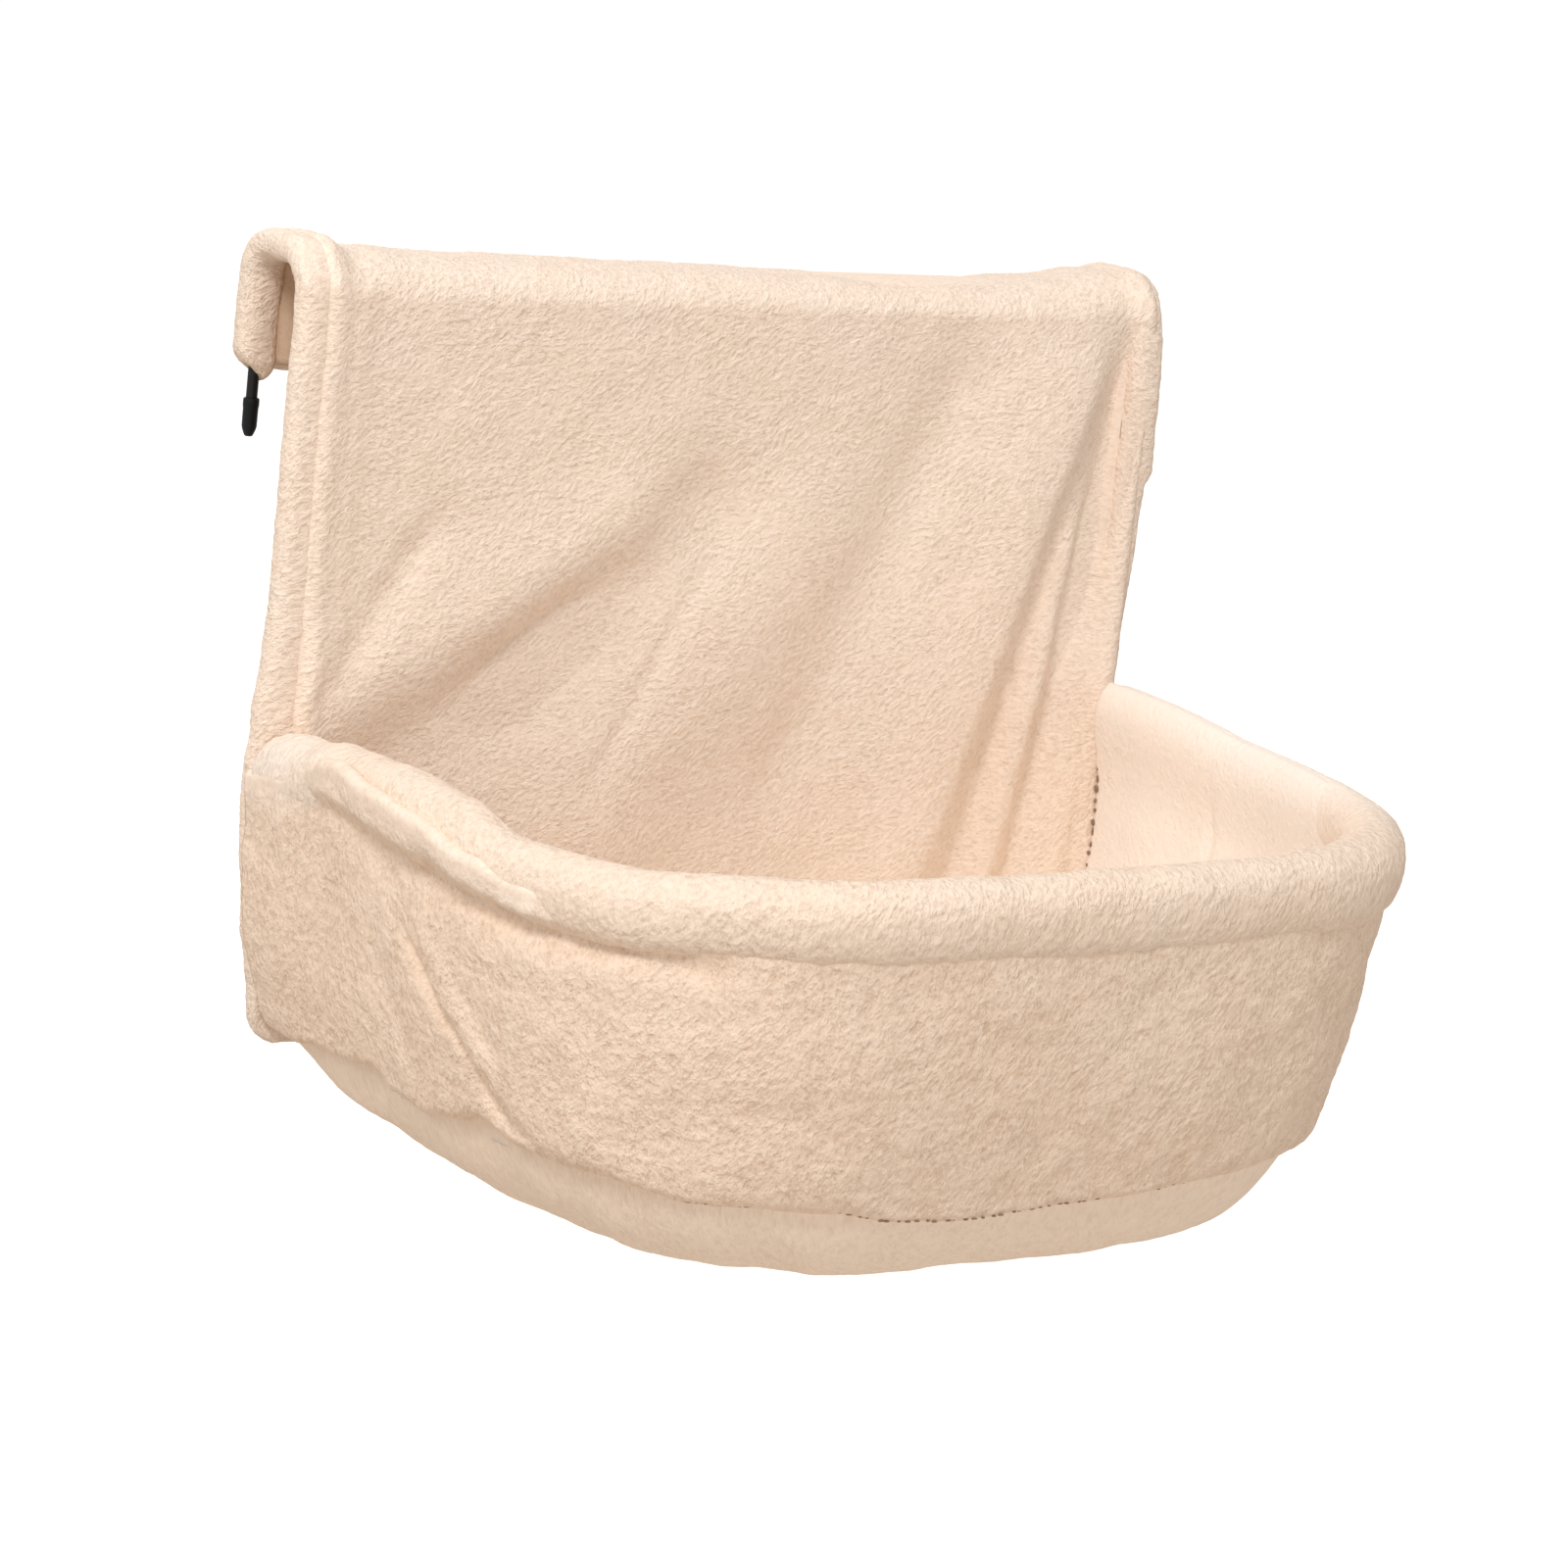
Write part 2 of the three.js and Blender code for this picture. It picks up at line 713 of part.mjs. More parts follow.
// Hanging panel and saddle
addPiece('rod_channel_left', makeRodChannel(-1), 'plush');
addPiece('rod_channel_right', makeRodChannel(1), 'plush');
addPiece('panel_plush', makePanelPlush(), 'plush');
addPiece('panel_lining', makePanelLining(), 'lining');

// Rolled rim and basket wall
addPiece('rim_wadding', makeRimTube(waddingRadius(), waddingBore()), 'wadding');
addPiece('rim_sleeve', makeRimTube(rimRadius, rimRadius - rimPlush), 'plush');
addPiece('wall_plush', wallBand(wallOverhang, wallPlush), 'plush');
addPiece('wall_foam', wallBand(wallOverhang - wallPlush - touchGap, wallFoam), 'foam');
addPiece('wall_lining', wallBand(wallOverhang - wallPlush - wallFoam - 2 * touchGap, wallLining), 'lining');

// Base and floor
addPiece('base_cloth', makeBaseCloth(), 'baseCloth');
addPiece('floor_foam', makeFloor(0, floorFoam), 'foam');
addPiece('floor_lining', makeFloor(floorFoam + touchGap, floorFoam + touchGap + floorLining), 'lining');

// Zip
addPiece('zip_tape_rear', makeZipTape(1), 'zip');
addPiece('zip_tape_front', makeZipTape(-1), 'zip');
addPiece('zip_chain_rear', makeZipChain(1), 'zip');
addPiece('zip_chain_front', makeZipChain(-1), 'zip');
addPiece('zip_stop_left', makeZipStop(-1), 'plated');
addPiece('zip_stop_right', makeZipStop(1), 'plated');
addPiece('zip_slider', makeZipSlider(), 'plated');
addPiece('zip_pull', makeZipPull(), 'plated');

export default bed;
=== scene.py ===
"""Radiator cat bed: a plush cover on a bent-wire frame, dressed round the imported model."""
import math

import bmesh
import bpy
import numpy as np
from bpy.props import FloatProperty, FloatVectorProperty, PointerProperty
from mathutils import Matrix, Vector


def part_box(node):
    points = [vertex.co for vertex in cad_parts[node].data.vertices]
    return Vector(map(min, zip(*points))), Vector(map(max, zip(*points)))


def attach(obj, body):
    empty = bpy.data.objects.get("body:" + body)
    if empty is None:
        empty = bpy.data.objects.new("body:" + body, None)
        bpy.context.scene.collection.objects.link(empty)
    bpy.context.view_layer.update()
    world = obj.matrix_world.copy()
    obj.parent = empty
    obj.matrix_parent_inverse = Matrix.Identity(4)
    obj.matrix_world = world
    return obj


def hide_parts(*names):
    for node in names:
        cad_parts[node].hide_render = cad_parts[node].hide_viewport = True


bl_info = {
    "name": "Radiator cat bed",
    "version": (1, 0, 0),
    "blender": (4, 5, 0),
    "location": "3D View > Sidebar > Cat bed",
    "description": "Builds the plush cover, wire frame and zip of a radiator cat bed",
    "category": "Object",
}

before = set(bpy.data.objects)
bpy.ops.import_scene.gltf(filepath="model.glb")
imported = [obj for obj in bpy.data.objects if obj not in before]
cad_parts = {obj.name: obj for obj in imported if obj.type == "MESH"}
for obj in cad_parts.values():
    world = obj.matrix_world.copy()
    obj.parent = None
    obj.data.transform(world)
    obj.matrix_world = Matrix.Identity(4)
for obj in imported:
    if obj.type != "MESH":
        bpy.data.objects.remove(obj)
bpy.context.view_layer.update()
MM = 0.001
TURN = 2 * math.pi
QUARTER = math.pi / 2
MERGE_DISTANCE = 1e-6

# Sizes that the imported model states
ROD_DIAMETER = 5 * MM
ROD_SHOWING = 12 * MM
SADDLE_CORNER = 10 * MM
FOOT_BEND = 12 * MM
RIM_DIAMETER = 27 * MM
RIM_CURVE_SHARE = 3.4
WALL_OVERHANG = 9 * MM
WALL_TAPER = 22 * MM
WALL_BULGE = 4 * MM
WALL_THICKNESS = 8.8 * MM
LINING_THICKNESS = 2 * MM
TOUCH_GAP = 0.3 * MM

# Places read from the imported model
ROD_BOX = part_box("hook_rod_right")
CHANNEL_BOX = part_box("rod_channel_right")
PANEL_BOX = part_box("panel_plush")
RIM_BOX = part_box("rim_sleeve")
WALL_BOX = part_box("wall_plush")
BASE_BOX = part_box("base_cloth")
FLOOR_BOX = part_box("floor_lining")
CAP_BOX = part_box("hook_cap_right")
ROD_X = ROD_BOX[1].x - ROD_DIAMETER / 2
ROD_Y = ROD_BOX[0].y + ROD_DIAMETER / 2
ROD_TOP = ROD_BOX[1].z - ROD_DIAMETER / 2
FOOT_Z = ROD_BOX[0].z + ROD_DIAMETER / 2
CHANNEL_WIDTH = 2 * (CHANNEL_BOX[1].x - ROD_X)
CHANNEL_THICKNESS = 2 * (CHANNEL_BOX[1].z - ROD_TOP)
PANEL_HALF = PANEL_BOX[1].x
LEFT_OVERLAP = 7 * MM
RIGHT_OVERLAP = 12 * MM
PANEL_FRONT = ROD_Y - CHANNEL_THICKNESS / 2
BEND_RADIUS = SADDLE_CORNER + CHANNEL_THICKNESS / 2
ARC_Z = ROD_TOP - BEND_RADIUS
FLAT_HALF = -ROD_Y - BEND_RADIUS
CAP_TOP = CAP_BOX[1].z
FLAP_HEM = CAP_TOP + ROD_SHOWING
RIM_Z = (RIM_BOX[0].z + RIM_BOX[1].z) / 2
RIM_RADIUS = RIM_DIAMETER / 2
BED_DEPTH = ROD_Y - (RIM_BOX[0].y + RIM_RADIUS)
BASKET_REAR = PANEL_FRONT - TOUCH_GAP
WALL_TOP = WALL_BOX[1].z
HEM_Z = WALL_BOX[0].z
BASE_LOW = BASE_BOX[0].z

# The bag that the base hangs in, and the cushion that lies in it
BASE_THICKNESS = 2.5 * MM
BAG_SAG = HEM_Z - TOUCH_GAP - BASE_THICKNESS - BASE_LOW
BAG_CURVE_SHARE = 8
FRONT_SHARE = 0.995
ZIP_STRIP = 30 * MM
ZIP_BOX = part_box("zip_slider")
FLOOR_LIFT = 5 * MM

# Runs along the hook line, from the foot up the panel, over the saddle and down the flap
FRONT_RUN = ARC_Z - FOOT_Z
ARC_RUN = BEND_RADIUS * QUARTER
BACK_RUN = FRONT_RUN + 2 * ARC_RUN + 2 * FLAT_HALF
HOOK_RUN = BACK_RUN + ARC_Z - FLAP_HEM

# The photograph's camera, in metres, degrees and pixels of a frame 1600 wide and high
FRAME_SIZE = 1600
CAMERA_PLACE = (-1.1172, -1.7560, 0.2342)
CAMERA_YAW = 32.65
CAMERA_PITCH = 10.68
CAMERA_ROLL = 5.97
FOCAL_PIXELS = 4812
AXIS_PIXEL = (720, 640)
SENSOR_WIDTH = 36

# Folds of the hanging panel. A row holds where the fold starts and ends, as shares across the panel
# and down its drop, its height as a share of the usual one, and its half widths to the left and
# right as shares of the usual one. A valley's height is below zero.
PANEL_FOLD_SHARES = (
    (0.05, 0.57, 0.38, 0.33, 0.65, 1.7, 1.3),
    (0.13, 0.65, 0.31, 0.46, -0.55, 1.1, 2.2),
    (0.27, 0.53, 0.46, 0.30, -0.75, 1.2, 1.7),
    (0.04, 0.58, 0.14, 0.37, -0.35, 0.5, 0.5),
    (0.37, 0.75, 0.58, 0.34, 0.50, 2.0, 2.0),
    (0.38, 0.62, 0.45, 0.44, -0.16, 0.3, 0.3),
    (0.59, 0.64, 0.74, 0.15, -0.50, 1.1, 1.1),
    (0.745, 0.83, 0.895, 0.15, 1.05, 2.5, 0.75),
    (0.809, 0.83, 0.885, 0.36, -0.60, 0.50, 0.50),
    (0.845, 0.83, 0.907, 0.38, 0.45, 0.50, 0.50),
    (0.882, 0.83, 0.933, 0.39, -0.70, 0.50, 0.45),
    (0.935, 0.42, 0.962, 0.14, -0.85, 0.8, 0.55),
    (0.933, 0.84, 0.957, 0.60, 0.30, 0.5, 0.5),
    (0.065, 0.04, 0.06, 0.50, 0.28, 0.45, 0.6),
)

# Folds of the basket's wall, as shares of the rim's length and of the wall's height. Rows as above.
WALL_FOLD_SHARES = (
    (0.149, 0.50, 0.182, 0.76, -0.75, 0.28, 0.32),
    (0.157, 0.44, 0.194, 0.72, 0.35, 0.6, 0.9),
    (0.11, 0.16, 0.150, 0.42, -0.16, 0.4, 0.5),
    (0.085, 0.36, 0.05, 0.70, -0.30, 0.9, 0.8),
    (0.17, 0.12, 0.30, 0.13, -0.55, 0.6, 0.7),
    (0.12, 0.62, 0.135, 0.86, -0.25, 0.7, 0.6),
    (0.19, 0.86, 0.215, 0.96, -0.30, 0.5, 0.5),
    (0.25, 0.55, 0.36, 0.50, 0.25, 1.8, 1.8),
    (0.50, 0.42, 0.58, 0.62, 0.22, 2.0, 2.0),
)

# Shape of the basket's edges in the photograph. A row holds a distance along the rim from its left
# end and a height, both in millimetres: how far the rim and the hem lie above their packed levels,
# the level of the wall's upper edge, and the level of the fold below it.
RIM_LIFTS = (
    (0, -11), (28, -8), (58, -3), (84, 1), (107, 2.5), (143, -1), (179, -9), (224, -9), (294, -4),
    (375, -1.5), (469, 0), (554, 0.5), (650, 2), (760, 1), (830, 5),
)
HEM_LIFTS = (
    (0, 7), (20, 7), (44, 11), (64, 11), (84, 14), (102, 6), (116, 4), (137, 8), (160, 14), (184, 8),
    (206, 7), (235, 7), (269, 3), (302, 4), (331, 3), (366, -2), (398, -3), (446, 0), (486, 2),
    (524, 5), (589, 8), (640, 4), (740, 3),
)
WALL_TOPS = (
    (0, -214), (28, -210), (45, -205), (58, -198), (70, -193), (80, -191.5), (103, -196), (135, -200),
    (166, -208), (190, -213), (231, -214), (296, -213), (373, -212), (467, -214), (518, -213),
    (569, -211), (650, -210), (860, -208),
)
RIDGE_LINES = (
    (0, -204), (60, -211), (109, -218), (137, -222), (159, -225), (210, -227), (240, -225), (300, -226),
)

# How far that fold stands out, and how deep the dent below it is, by the same distance
RIDGE_RISES = ((0, 0), (45, 0), (75, 5), (105, 8), (150, 8), (190, 5), (235, 0), (900, 0))
RIDGE_DENTS = ((60, 0), (110, 1.2), (180, 3.5), (215, 3), (290, 0), (900, 0))
RIDGE_EASE_SHARE = 0.55
DENT_ABOVE = 3.5 * MM
DENT_BELOW = 9 * MM

# Sag of the saddle between the hooks, by places across it, and how full the roll hangs below its
# middle, by the distance along it. Places and sags are in millimetres.
SADDLE_SAGS = (
    (-214, 0), (-190, 2.4), (-156, 4.4), (-36, 5.6), (44, 7.4), (84, 9.2), (124, 8.6), (164, 5.6),
    (196, 1.5), (214, 0),
)
ROLL_FULL_SHARES = ((0, 0.1), (160, 0.1), (240, 0.3), (420, 0.48), (560, 0.42), (900, 0.1))

# How far the channels reach outwards from their rods, by levels in metres
LEFT_REACHES = (
    (FOOT_Z, 2.9 * MM), (-0.315, 2.9 * MM), (-0.307, 3.4 * MM), (-0.298, 5.5 * MM),
    (-0.28, 9.5 * MM), (-0.235, 14 * MM), (-0.2225, 14.8 * MM), (-0.21, 14.6 * MM),
    (-0.197, 12.6 * MM), (-0.184, 12.9 * MM), (-0.158, 10 * MM), (-0.13, 9 * MM), (0, 9 * MM),
)
RIGHT_REACHES = (
    (FOOT_Z, 3.1 * MM), (-0.28, 4.4 * MM), (-0.166, 4.6 * MM), (-0.109, 7.2 * MM),
    (-0.089, 8 * MM), (-0.081, 11.5 * MM), (-0.026, 9 * MM), (-0.004, 6 * MM),
)
RIGHT_FRONT_SHARES = ((-100 * MM, 0.8), (-60 * MM, 1), (-20 * MM, 1), (0, 0.56))

# How far the wall swells at the left rear, by shares down it
REAR_SWELLS = (
    (0, 8.5 * MM), (0.14, 8 * MM), (0.5, 11 * MM), (0.62, 11.5 * MM), (0.82, 9 * MM), (1, 8 * MM),
)

# Unevenness of soft faces. A row holds the height of its waves, their length and their seed.
HEM_WAVES = ((0.5 * MM, 9 * MM, 72),)
WALL_WAVES = ((2.6 * MM, 75 * MM, 90), (1.2 * MM, 30 * MM, 91), (0.5 * MM, 13 * MM, 92))
BACK_WAVES = ((0.5 * MM, 45 * MM, 60),)
LINING_WAVES = ((1.2 * MM, 60 * MM, 95),)
PUCKER_WAVES = ((3.6 * MM, 6 * MM, 110),)
BASE_WAVES = ((1.5 * MM, 60 * MM, 111),)
FLOOR_WAVES = ((1.5 * MM, 55 * MM, 120),)
TAPE_WAVES = ((0.12 * MM, 9 * MM, 130),)

# The same for the roll and the channels, with the height as a share of what it changes
ROLL_WAVE_SHARES = ((0.05, 36 * MM, 80),)
CHANNEL_WAVE_SHARES = ((0.05, 32 * MM, 40),)

# Steps round the edge of a thick cloth
EDGE_STEPS = 8

# The panel's plush and its lining. The plush stands PANEL_OUTER off the rods' line, and starts
# PANEL_FOOT above the channels' foot. The top of its front, PANEL_SEEN long, has the finest grid.
PANEL_OUTER = 3.5 * MM
PANEL_FOOT = 4 * MM
PANEL_SEEN = 260 * MM
PANEL_TUCK = 5 * MM
PANEL_ROUNDING = 3.6 * MM
PANEL_EASE_SHARE = 0.12
DEEPEST_FOLD = -6 * MM
HIGHEST_FOLD = 10 * MM
BACK_THICKNESS = 1.4 * MM
LINING_OVERLAP = 2 * MM
LINING_TUCK = 3.5 * MM

# How far the panel's plush rises over the channels, and how much less at the right on the saddle
# and the flap, both in millimetres
PANEL_RISE = 3.9
FLAT_RISE_LOSS = 2.6

# The channels: the way round them, how square they are, their thickness at the foot and behind the
# radiator, their rounded hem, and their cover over the ferrule
CHANNEL_ROUND = 52 * MM
CHANNEL_CURVE = 0.82
FOOT_THICK_SHARE = 0.52
FOOT_EASE = 30 * MM
FLAP_THICKER_SHARE = 0.6
HEM_ROUNDING = 8 * MM
HEM_REACH = 30 * MM
FERRULE_REACH = 40 * MM
FERRULE_EASE = 8 * MM
FERRULE_WIDE = 4.9 * MM
FERRULE_THICK = 5.2 * MM

# The channel's radius as cloth, and the slant and sag of its hem, in millimetres
CHANNEL_RADIUS = 8.3
HEM_SLANT = 3.5
HEM_SAG = 1.5

# The basket's roll, wall, lining, base and cushion
RIM_END = 6 * MM
ROLL_END_SHARE = 0.72
ROLL_ROUNDED_SHARE = 0.28
ROLL_FULL_CURVE = 0.6
ROLL_SWELL_SHARE = 0.12
ROLL_HUMP = 3.5 * MM
ROLL_HUMP_END = 92 * MM
ROLL_HUMP_EASE = 52 * MM
ARM_THINNER_SHARE = 0.3
ARM_OUT = 3 * MM
WALL_ROUNDING = 3.2 * MM
CREASE_WIDTH = 11 * MM
LINING_CLEARANCE = 1.6 * MM
LINING_SINK = 4 * MM
LINING_OUT = 3 * MM
LINING_CURL_SHARE = 0.74
LINING_BACK_SHARE = 0.4
LINING_EASE_SHARE = 0.3
LINING_TURN = 6 * MM
LINING_LOW_SHARE = 0.8
LINING_SEAM = 92 * MM
LINING_SEAM_DEPTH = 2.2 * MM
LINING_SEAM_WIDTH = 3 * MM
WALL_LINING_THICKNESS = 1.8 * MM
BASE_INSET = 5 * MM
BASE_TUCK = 3 * MM
BASE_CORNER = 14 * MM
BASE_DROP = 1.9 * MM
BASE_EASE_SHARE = 0.08
BASE_EDGE_CURVE = 14
BASE_REACH = 210 * MM
RING_CURVE = 0.7
ZIP_STRIP_HALF = 190 * MM
ZIP_STRIP_EASE = 12 * MM
GROOVE_DEPTH = 3.2 * MM
GROOVE_HALF_DEEP = 7.5 * MM
GROOVE_HALF_WIDE = 172 * MM
D_AREA_SHARE = 0.92
FLOOR_CROWN = 4 * MM
FLOOR_WIDER = 3.5 * MM
FLOOR_REAR_LEFT = 9 * MM
FLOOR_REAR_RIGHT = 5 * MM
FLOOR_EDGE_CURVE = 12
FLOOR_LEAN_SHARE = 0.16
FLOOR_DENSITY_SHARE = 1.15
GRID_END_SHARE = 0.999

# Half section of a cap, as shares of its radius and its length, from the tip to its inside
CAP_SHARES = (
    (0, 0), (0.42, 0), (0.54, 0.02), (0.66, 0.07), (0.88, 0.19), (0.96, 0.27),
    (0.97, 0.72), (1.0, 0.76), (1.03, 0.80), (1.03, 0.94), (0.99, 0.985), (0.90, 1.0),
    (0.76, 1.0), (0.74, 0.97), (0.74, 0.80), (0, 0.80),
)

# A zip tooth's body and nose. A row holds how far it lies towards the other side, and its width,
# depth and thickness, as shares of the pitch and of the chain.
TOOTH_SHARES = ((0, 0.44, 1, 1), (0.43, 0.30, 0.26, 0.6))
TOOTH_START_SHARE = 0.75

# The zip's slider, the bail under it, and its pull. Pairs are half widths and half depths.
SLIDER_PLATE = 1 * MM
SLIDER_WEB = (4 * MM, 0.3 * MM)
BAIL_DROP = 3.3 * MM
BAIL_STANCE = 1.65 * MM
BAIL_LEG = (0.65 * MM, 0.8 * MM)
BAIL_LEG_LIFT = 0.6 * MM
BAIL_BAR = (2.3 * MM, 0.8 * MM)
BAIL_ROUND = 1.3 * MM
PULL_EYE = 5.4 * MM
PULL_ARM = 1.2 * MM

# The rows of stitches
CORNER_STITCH_PITCH = 5.2 * MM
CORNER_STITCH_END = 24 * MM
HEM_STITCH_PITCH = 4.6 * MM
HEM_STITCH_END = 10 * MM

# The stage. A lamp's row holds its name, its place and diameter in metres, and its power in watts.
# The floor's drop below the base and half its width are in metres too.
LAMPS = (
    ("key_light", (-2.0, -1.9, 2.3), 0.9, 55),
    ("top_light", (-0.3, -0.8, 2.7), 1.5, 16),
    ("front_light", (0.5, -3.2, -0.7), 2.0, 30),
    ("left_light", (-2.2, -0.1, 1.3), 1.0, 15),
    ("back_light", (0.9, 3.0, 0.9), 2.0, 26),
)
LAMP_AIM = (0, -0.15, -0.18)
FLOOR_DROP = 0.25
FLOOR_HALF = 25
FLOOR_GLOW = 0.82
WORLD_LIGHT = 0.42
WARM_LIGHT = (1, 0.965, 0.925, 1)
WHITE = (1, 1, 1, 1)

# The pile's clumps. Turns are in radians, and shares are of a clump's width or of the nap.
CLUMP_TURNS = (-0.25, 0.15, 0.5, 0.9)
CLUMP_STRETCH_SHARE = 0.5
LEAN_SHARE = 14
COARSE_CLUMP_SHARE = 3.1
COARSE_RISE_SHARE = 0.35
SLOW_CLUMP_SHARE = 9
FOLD_END_SHARE = 1.6

# The ripples that the plush's shader adds: their length by their width, how the two lays that mix
# are turned, in radians, and how far one lay reaches, as a share of a ripple's width
GRAIN_STRETCH = (1.4, 1, 1)
GRAIN_TURNS = (0.15, 0.7)
LAY_REACH_SHARE = 16

# Reaches along the rim: the swellings at the left rear and the right front, the right arm, and the
# wall's right end, which stands more upright
REAR_REACH = 115 * MM
RIGHT_SWELL = 3.5 * MM
RIGHT_SWELL_REACH = 70 * MM
RIGHT_SWELL_SHARE = 0.70
ARM_START = 590 * MM
ARM_EASE = 130 * MM
UPRIGHT = 6 * MM
UPRIGHT_REACH = 70 * MM
RIM_STEPS = 8000


def spread(*columns):
    """Points from columns of coordinates. A number stands for a whole column."""
    return np.stack(np.broadcast_arrays(*columns), axis=1)


def smooth(share):
    """Eases a share between 0 and 1."""
    share = np.clip(share, 0, 1)
    return share * share * (3 - 2 * share)


def bell(distance, width):
    """A soft hump, 1 in the middle and near 0 two widths away."""
    return np.exp(-((distance / width) ** 2))


def scrambled(x, y, z, seed):
    """A fixed number from -1 to 1 for each whole place."""
    mixed = x * 73856093 ^ y * 19349663 ^ z * 83492791 ^ (seed + 1) * 40503
    mixed = (mixed ^ (mixed >> 13)) * 1274126177
    mixed = mixed ^ (mixed >> 16)
    return (mixed & 0xFFFF) / 32767.5 - 1


def along(value, *stops):
    """Eases from stop to stop. A stop is a value and what belongs to it."""
    places, amounts = (np.array(column) for column in zip(*stops))
    start = np.clip(np.searchsorted(places, value) - 1, 0, len(places) - 2)
    part = (value - places[start]) / (places[start + 1] - places[start])
    return amounts[start] + (amounts[start + 1] - amounts[start]) * smooth(part)


def noise(points, size, seed=0):
    """Smooth noise, about -1 to 1, whose lumps are about one size across."""
    spots = points / size
    low = np.floor(spots).astype(np.int64)
    part = spots - low
    ease = part ** 3 * (part * (part * 6 - 15) + 10)
    total = np.zeros(len(points))
    for corner in range(8):
        step = np.array([corner & 1, corner >> 1 & 1, corner >> 2 & 1])
        cell = low + step
        away = part - step
        slope = sum(
            scrambled(cell[:, 0], cell[:, 1], cell[:, 2], 3 * seed + axis) * away[:, axis]
            for axis in range(3)
        )
        total += slope * np.prod(np.where(step == 1, ease, 1 - ease), axis=1)
    return total * 1.5


def waves(points, rows):
    """The sum of several rows of smooth waves."""
    return sum(height * noise(points, length, seed) for height, length, seed in rows)


def tufts(cloth, size, seed):
    """Plush clumps, longer than wide, whose lean wanders over the cloth."""
    lean = 0.5 + 0.5 * noise(cloth, LEAN_SHARE * size, seed + 5)
    total = np.zeros(len(cloth))
    weight = np.zeros(len(cloth))
    last = len(CLUMP_TURNS) - 1
    for i, angle in enumerate(CLUMP_TURNS):
        c, s = math.cos(angle), math.sin(angle)
        ahead = cloth[:, 0] * c + cloth[:, 1] * s
        across = cloth[:, 1] * c - cloth[:, 0] * s
        grain = spread(ahead * CLUMP_STRETCH_SHARE, across, cloth[:, 2])
        share = bell(lean - i / last, 0.3)
        total += share * noise(grain, size, seed + i)
        weight += share
    return total / weight


def folded(across, down, width, height, folds, fold_height, fold_width):
    """How far a set of folds lifts a cloth of that width and height, at shares across and down it."""
    lift = np.zeros(len(across))
    spot = spread(across * width, down * height)
    for x0, y0, x1, y1, rise, left, right in folds:
        start = np.array([x0 * width, y0 * height])
        line = np.array([x1 * width, y1 * height]) - start
        length = np.hypot(*line)
        ahead = line / length
        passed = (spot - start) @ ahead
        aside = (spot - start) @ np.array([-ahead[1], ahead[0]])
        beyond = np.maximum(np.maximum(-passed, passed - length), 0)
        reach = np.where(aside > 0, right, left) * fold_width
        lift += rise * bell(aside, reach) * bell(beyond, FOLD_END_SHARE * fold_width)
    return lift * fold_height


def coordinates(mesh):
    spots = np.empty(len(mesh.vertices) * 3)
    mesh.vertices.foreach_get("co", spots)
    return spots.reshape(-1, 3)


def put(mesh, spots):
    mesh.vertices.foreach_set("co", spots.astype(np.float32).ravel())
    mesh.update()


def attribute(mesh, name, values):
    """Stores a number or a vector for each point, under a name that materials read."""
    kind = "FLOAT" if values.ndim == 1 else "FLOAT_VECTOR"
    layer = mesh.attributes.get(name) or mesh.attributes.new(name, kind, "POINT")
    layer.data.foreach_set("value" if values.ndim == 1 else "vector", values.astype(np.float32).ravel())


def stored(mesh, name, size):
    values = np.empty(len(mesh.vertices) * size)
    mesh.attributes[name].data.foreach_get("value" if size == 1 else "vector", values)
    return values if size == 1 else values.reshape(-1, size)


def added(name, data):
    """A new object in the scene."""
    made = bpy.data.objects.new(name, data)
    bpy.context.scene.collection.objects.link(made)
    return made


def piece(name, mesh, material, body="bed"):
    """A finished piece: it gets its material and slot, and rides on a body."""
    made = added(name, mesh)
    mesh.materials.append(material)
    mesh.polygons.foreach_set("use_smooth", np.ones(len(mesh.polygons), bool))
    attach(made, body)
    return made


def closed(mesh, fill=True):
    """Merges a mesh's matching points, fills its open ends and turns its faces outwards."""
    bm = bmesh.new()
    bm.from_mesh(mesh)
    bmesh.ops.remove_doubles(bm, verts=bm.verts, dist=MERGE_DISTANCE)
    if fill:
        edges = [edge for edge in bm.edges if edge.is_boundary]
        bmesh.ops.holes_fill(bm, edges=edges, sides=0)
    bmesh.ops.recalc_face_normals(bm, faces=bm.faces)
    bm.to_mesh(mesh)
    bm.free()


def mesh_from(name, bm):
    """Turns a bmesh into a mesh."""
    mesh = bpy.data.meshes.new(name)
    bm.to_mesh(mesh)
    bm.free()
    return mesh


def cloth_grid(name, columns, rows, place, fill=True):
    """A grid of cloth. place takes the column and row numbers of its points and gives their places,
    their spots on the flat cloth and how much of the pile stands there, from 0 to 1."""
    bm = bmesh.new()
    bmesh.ops.create_grid(bm, x_segments=columns, y_segments=rows, size=0.5)
    mesh = mesh_from(name, bm)
    spots = coordinates(mesh)
    column = np.rint((spots[:, 0] + 0.5) * columns).astype(int)
    row = np.rint((spots[:, 1] + 0.5) * rows).astype(int)
    points, flat, pile = place(column, row)
    put(mesh, points)
    attribute(mesh, "cloth", flat)
    attribute(mesh, "pile", pile)
    closed(mesh, fill)
    return mesh


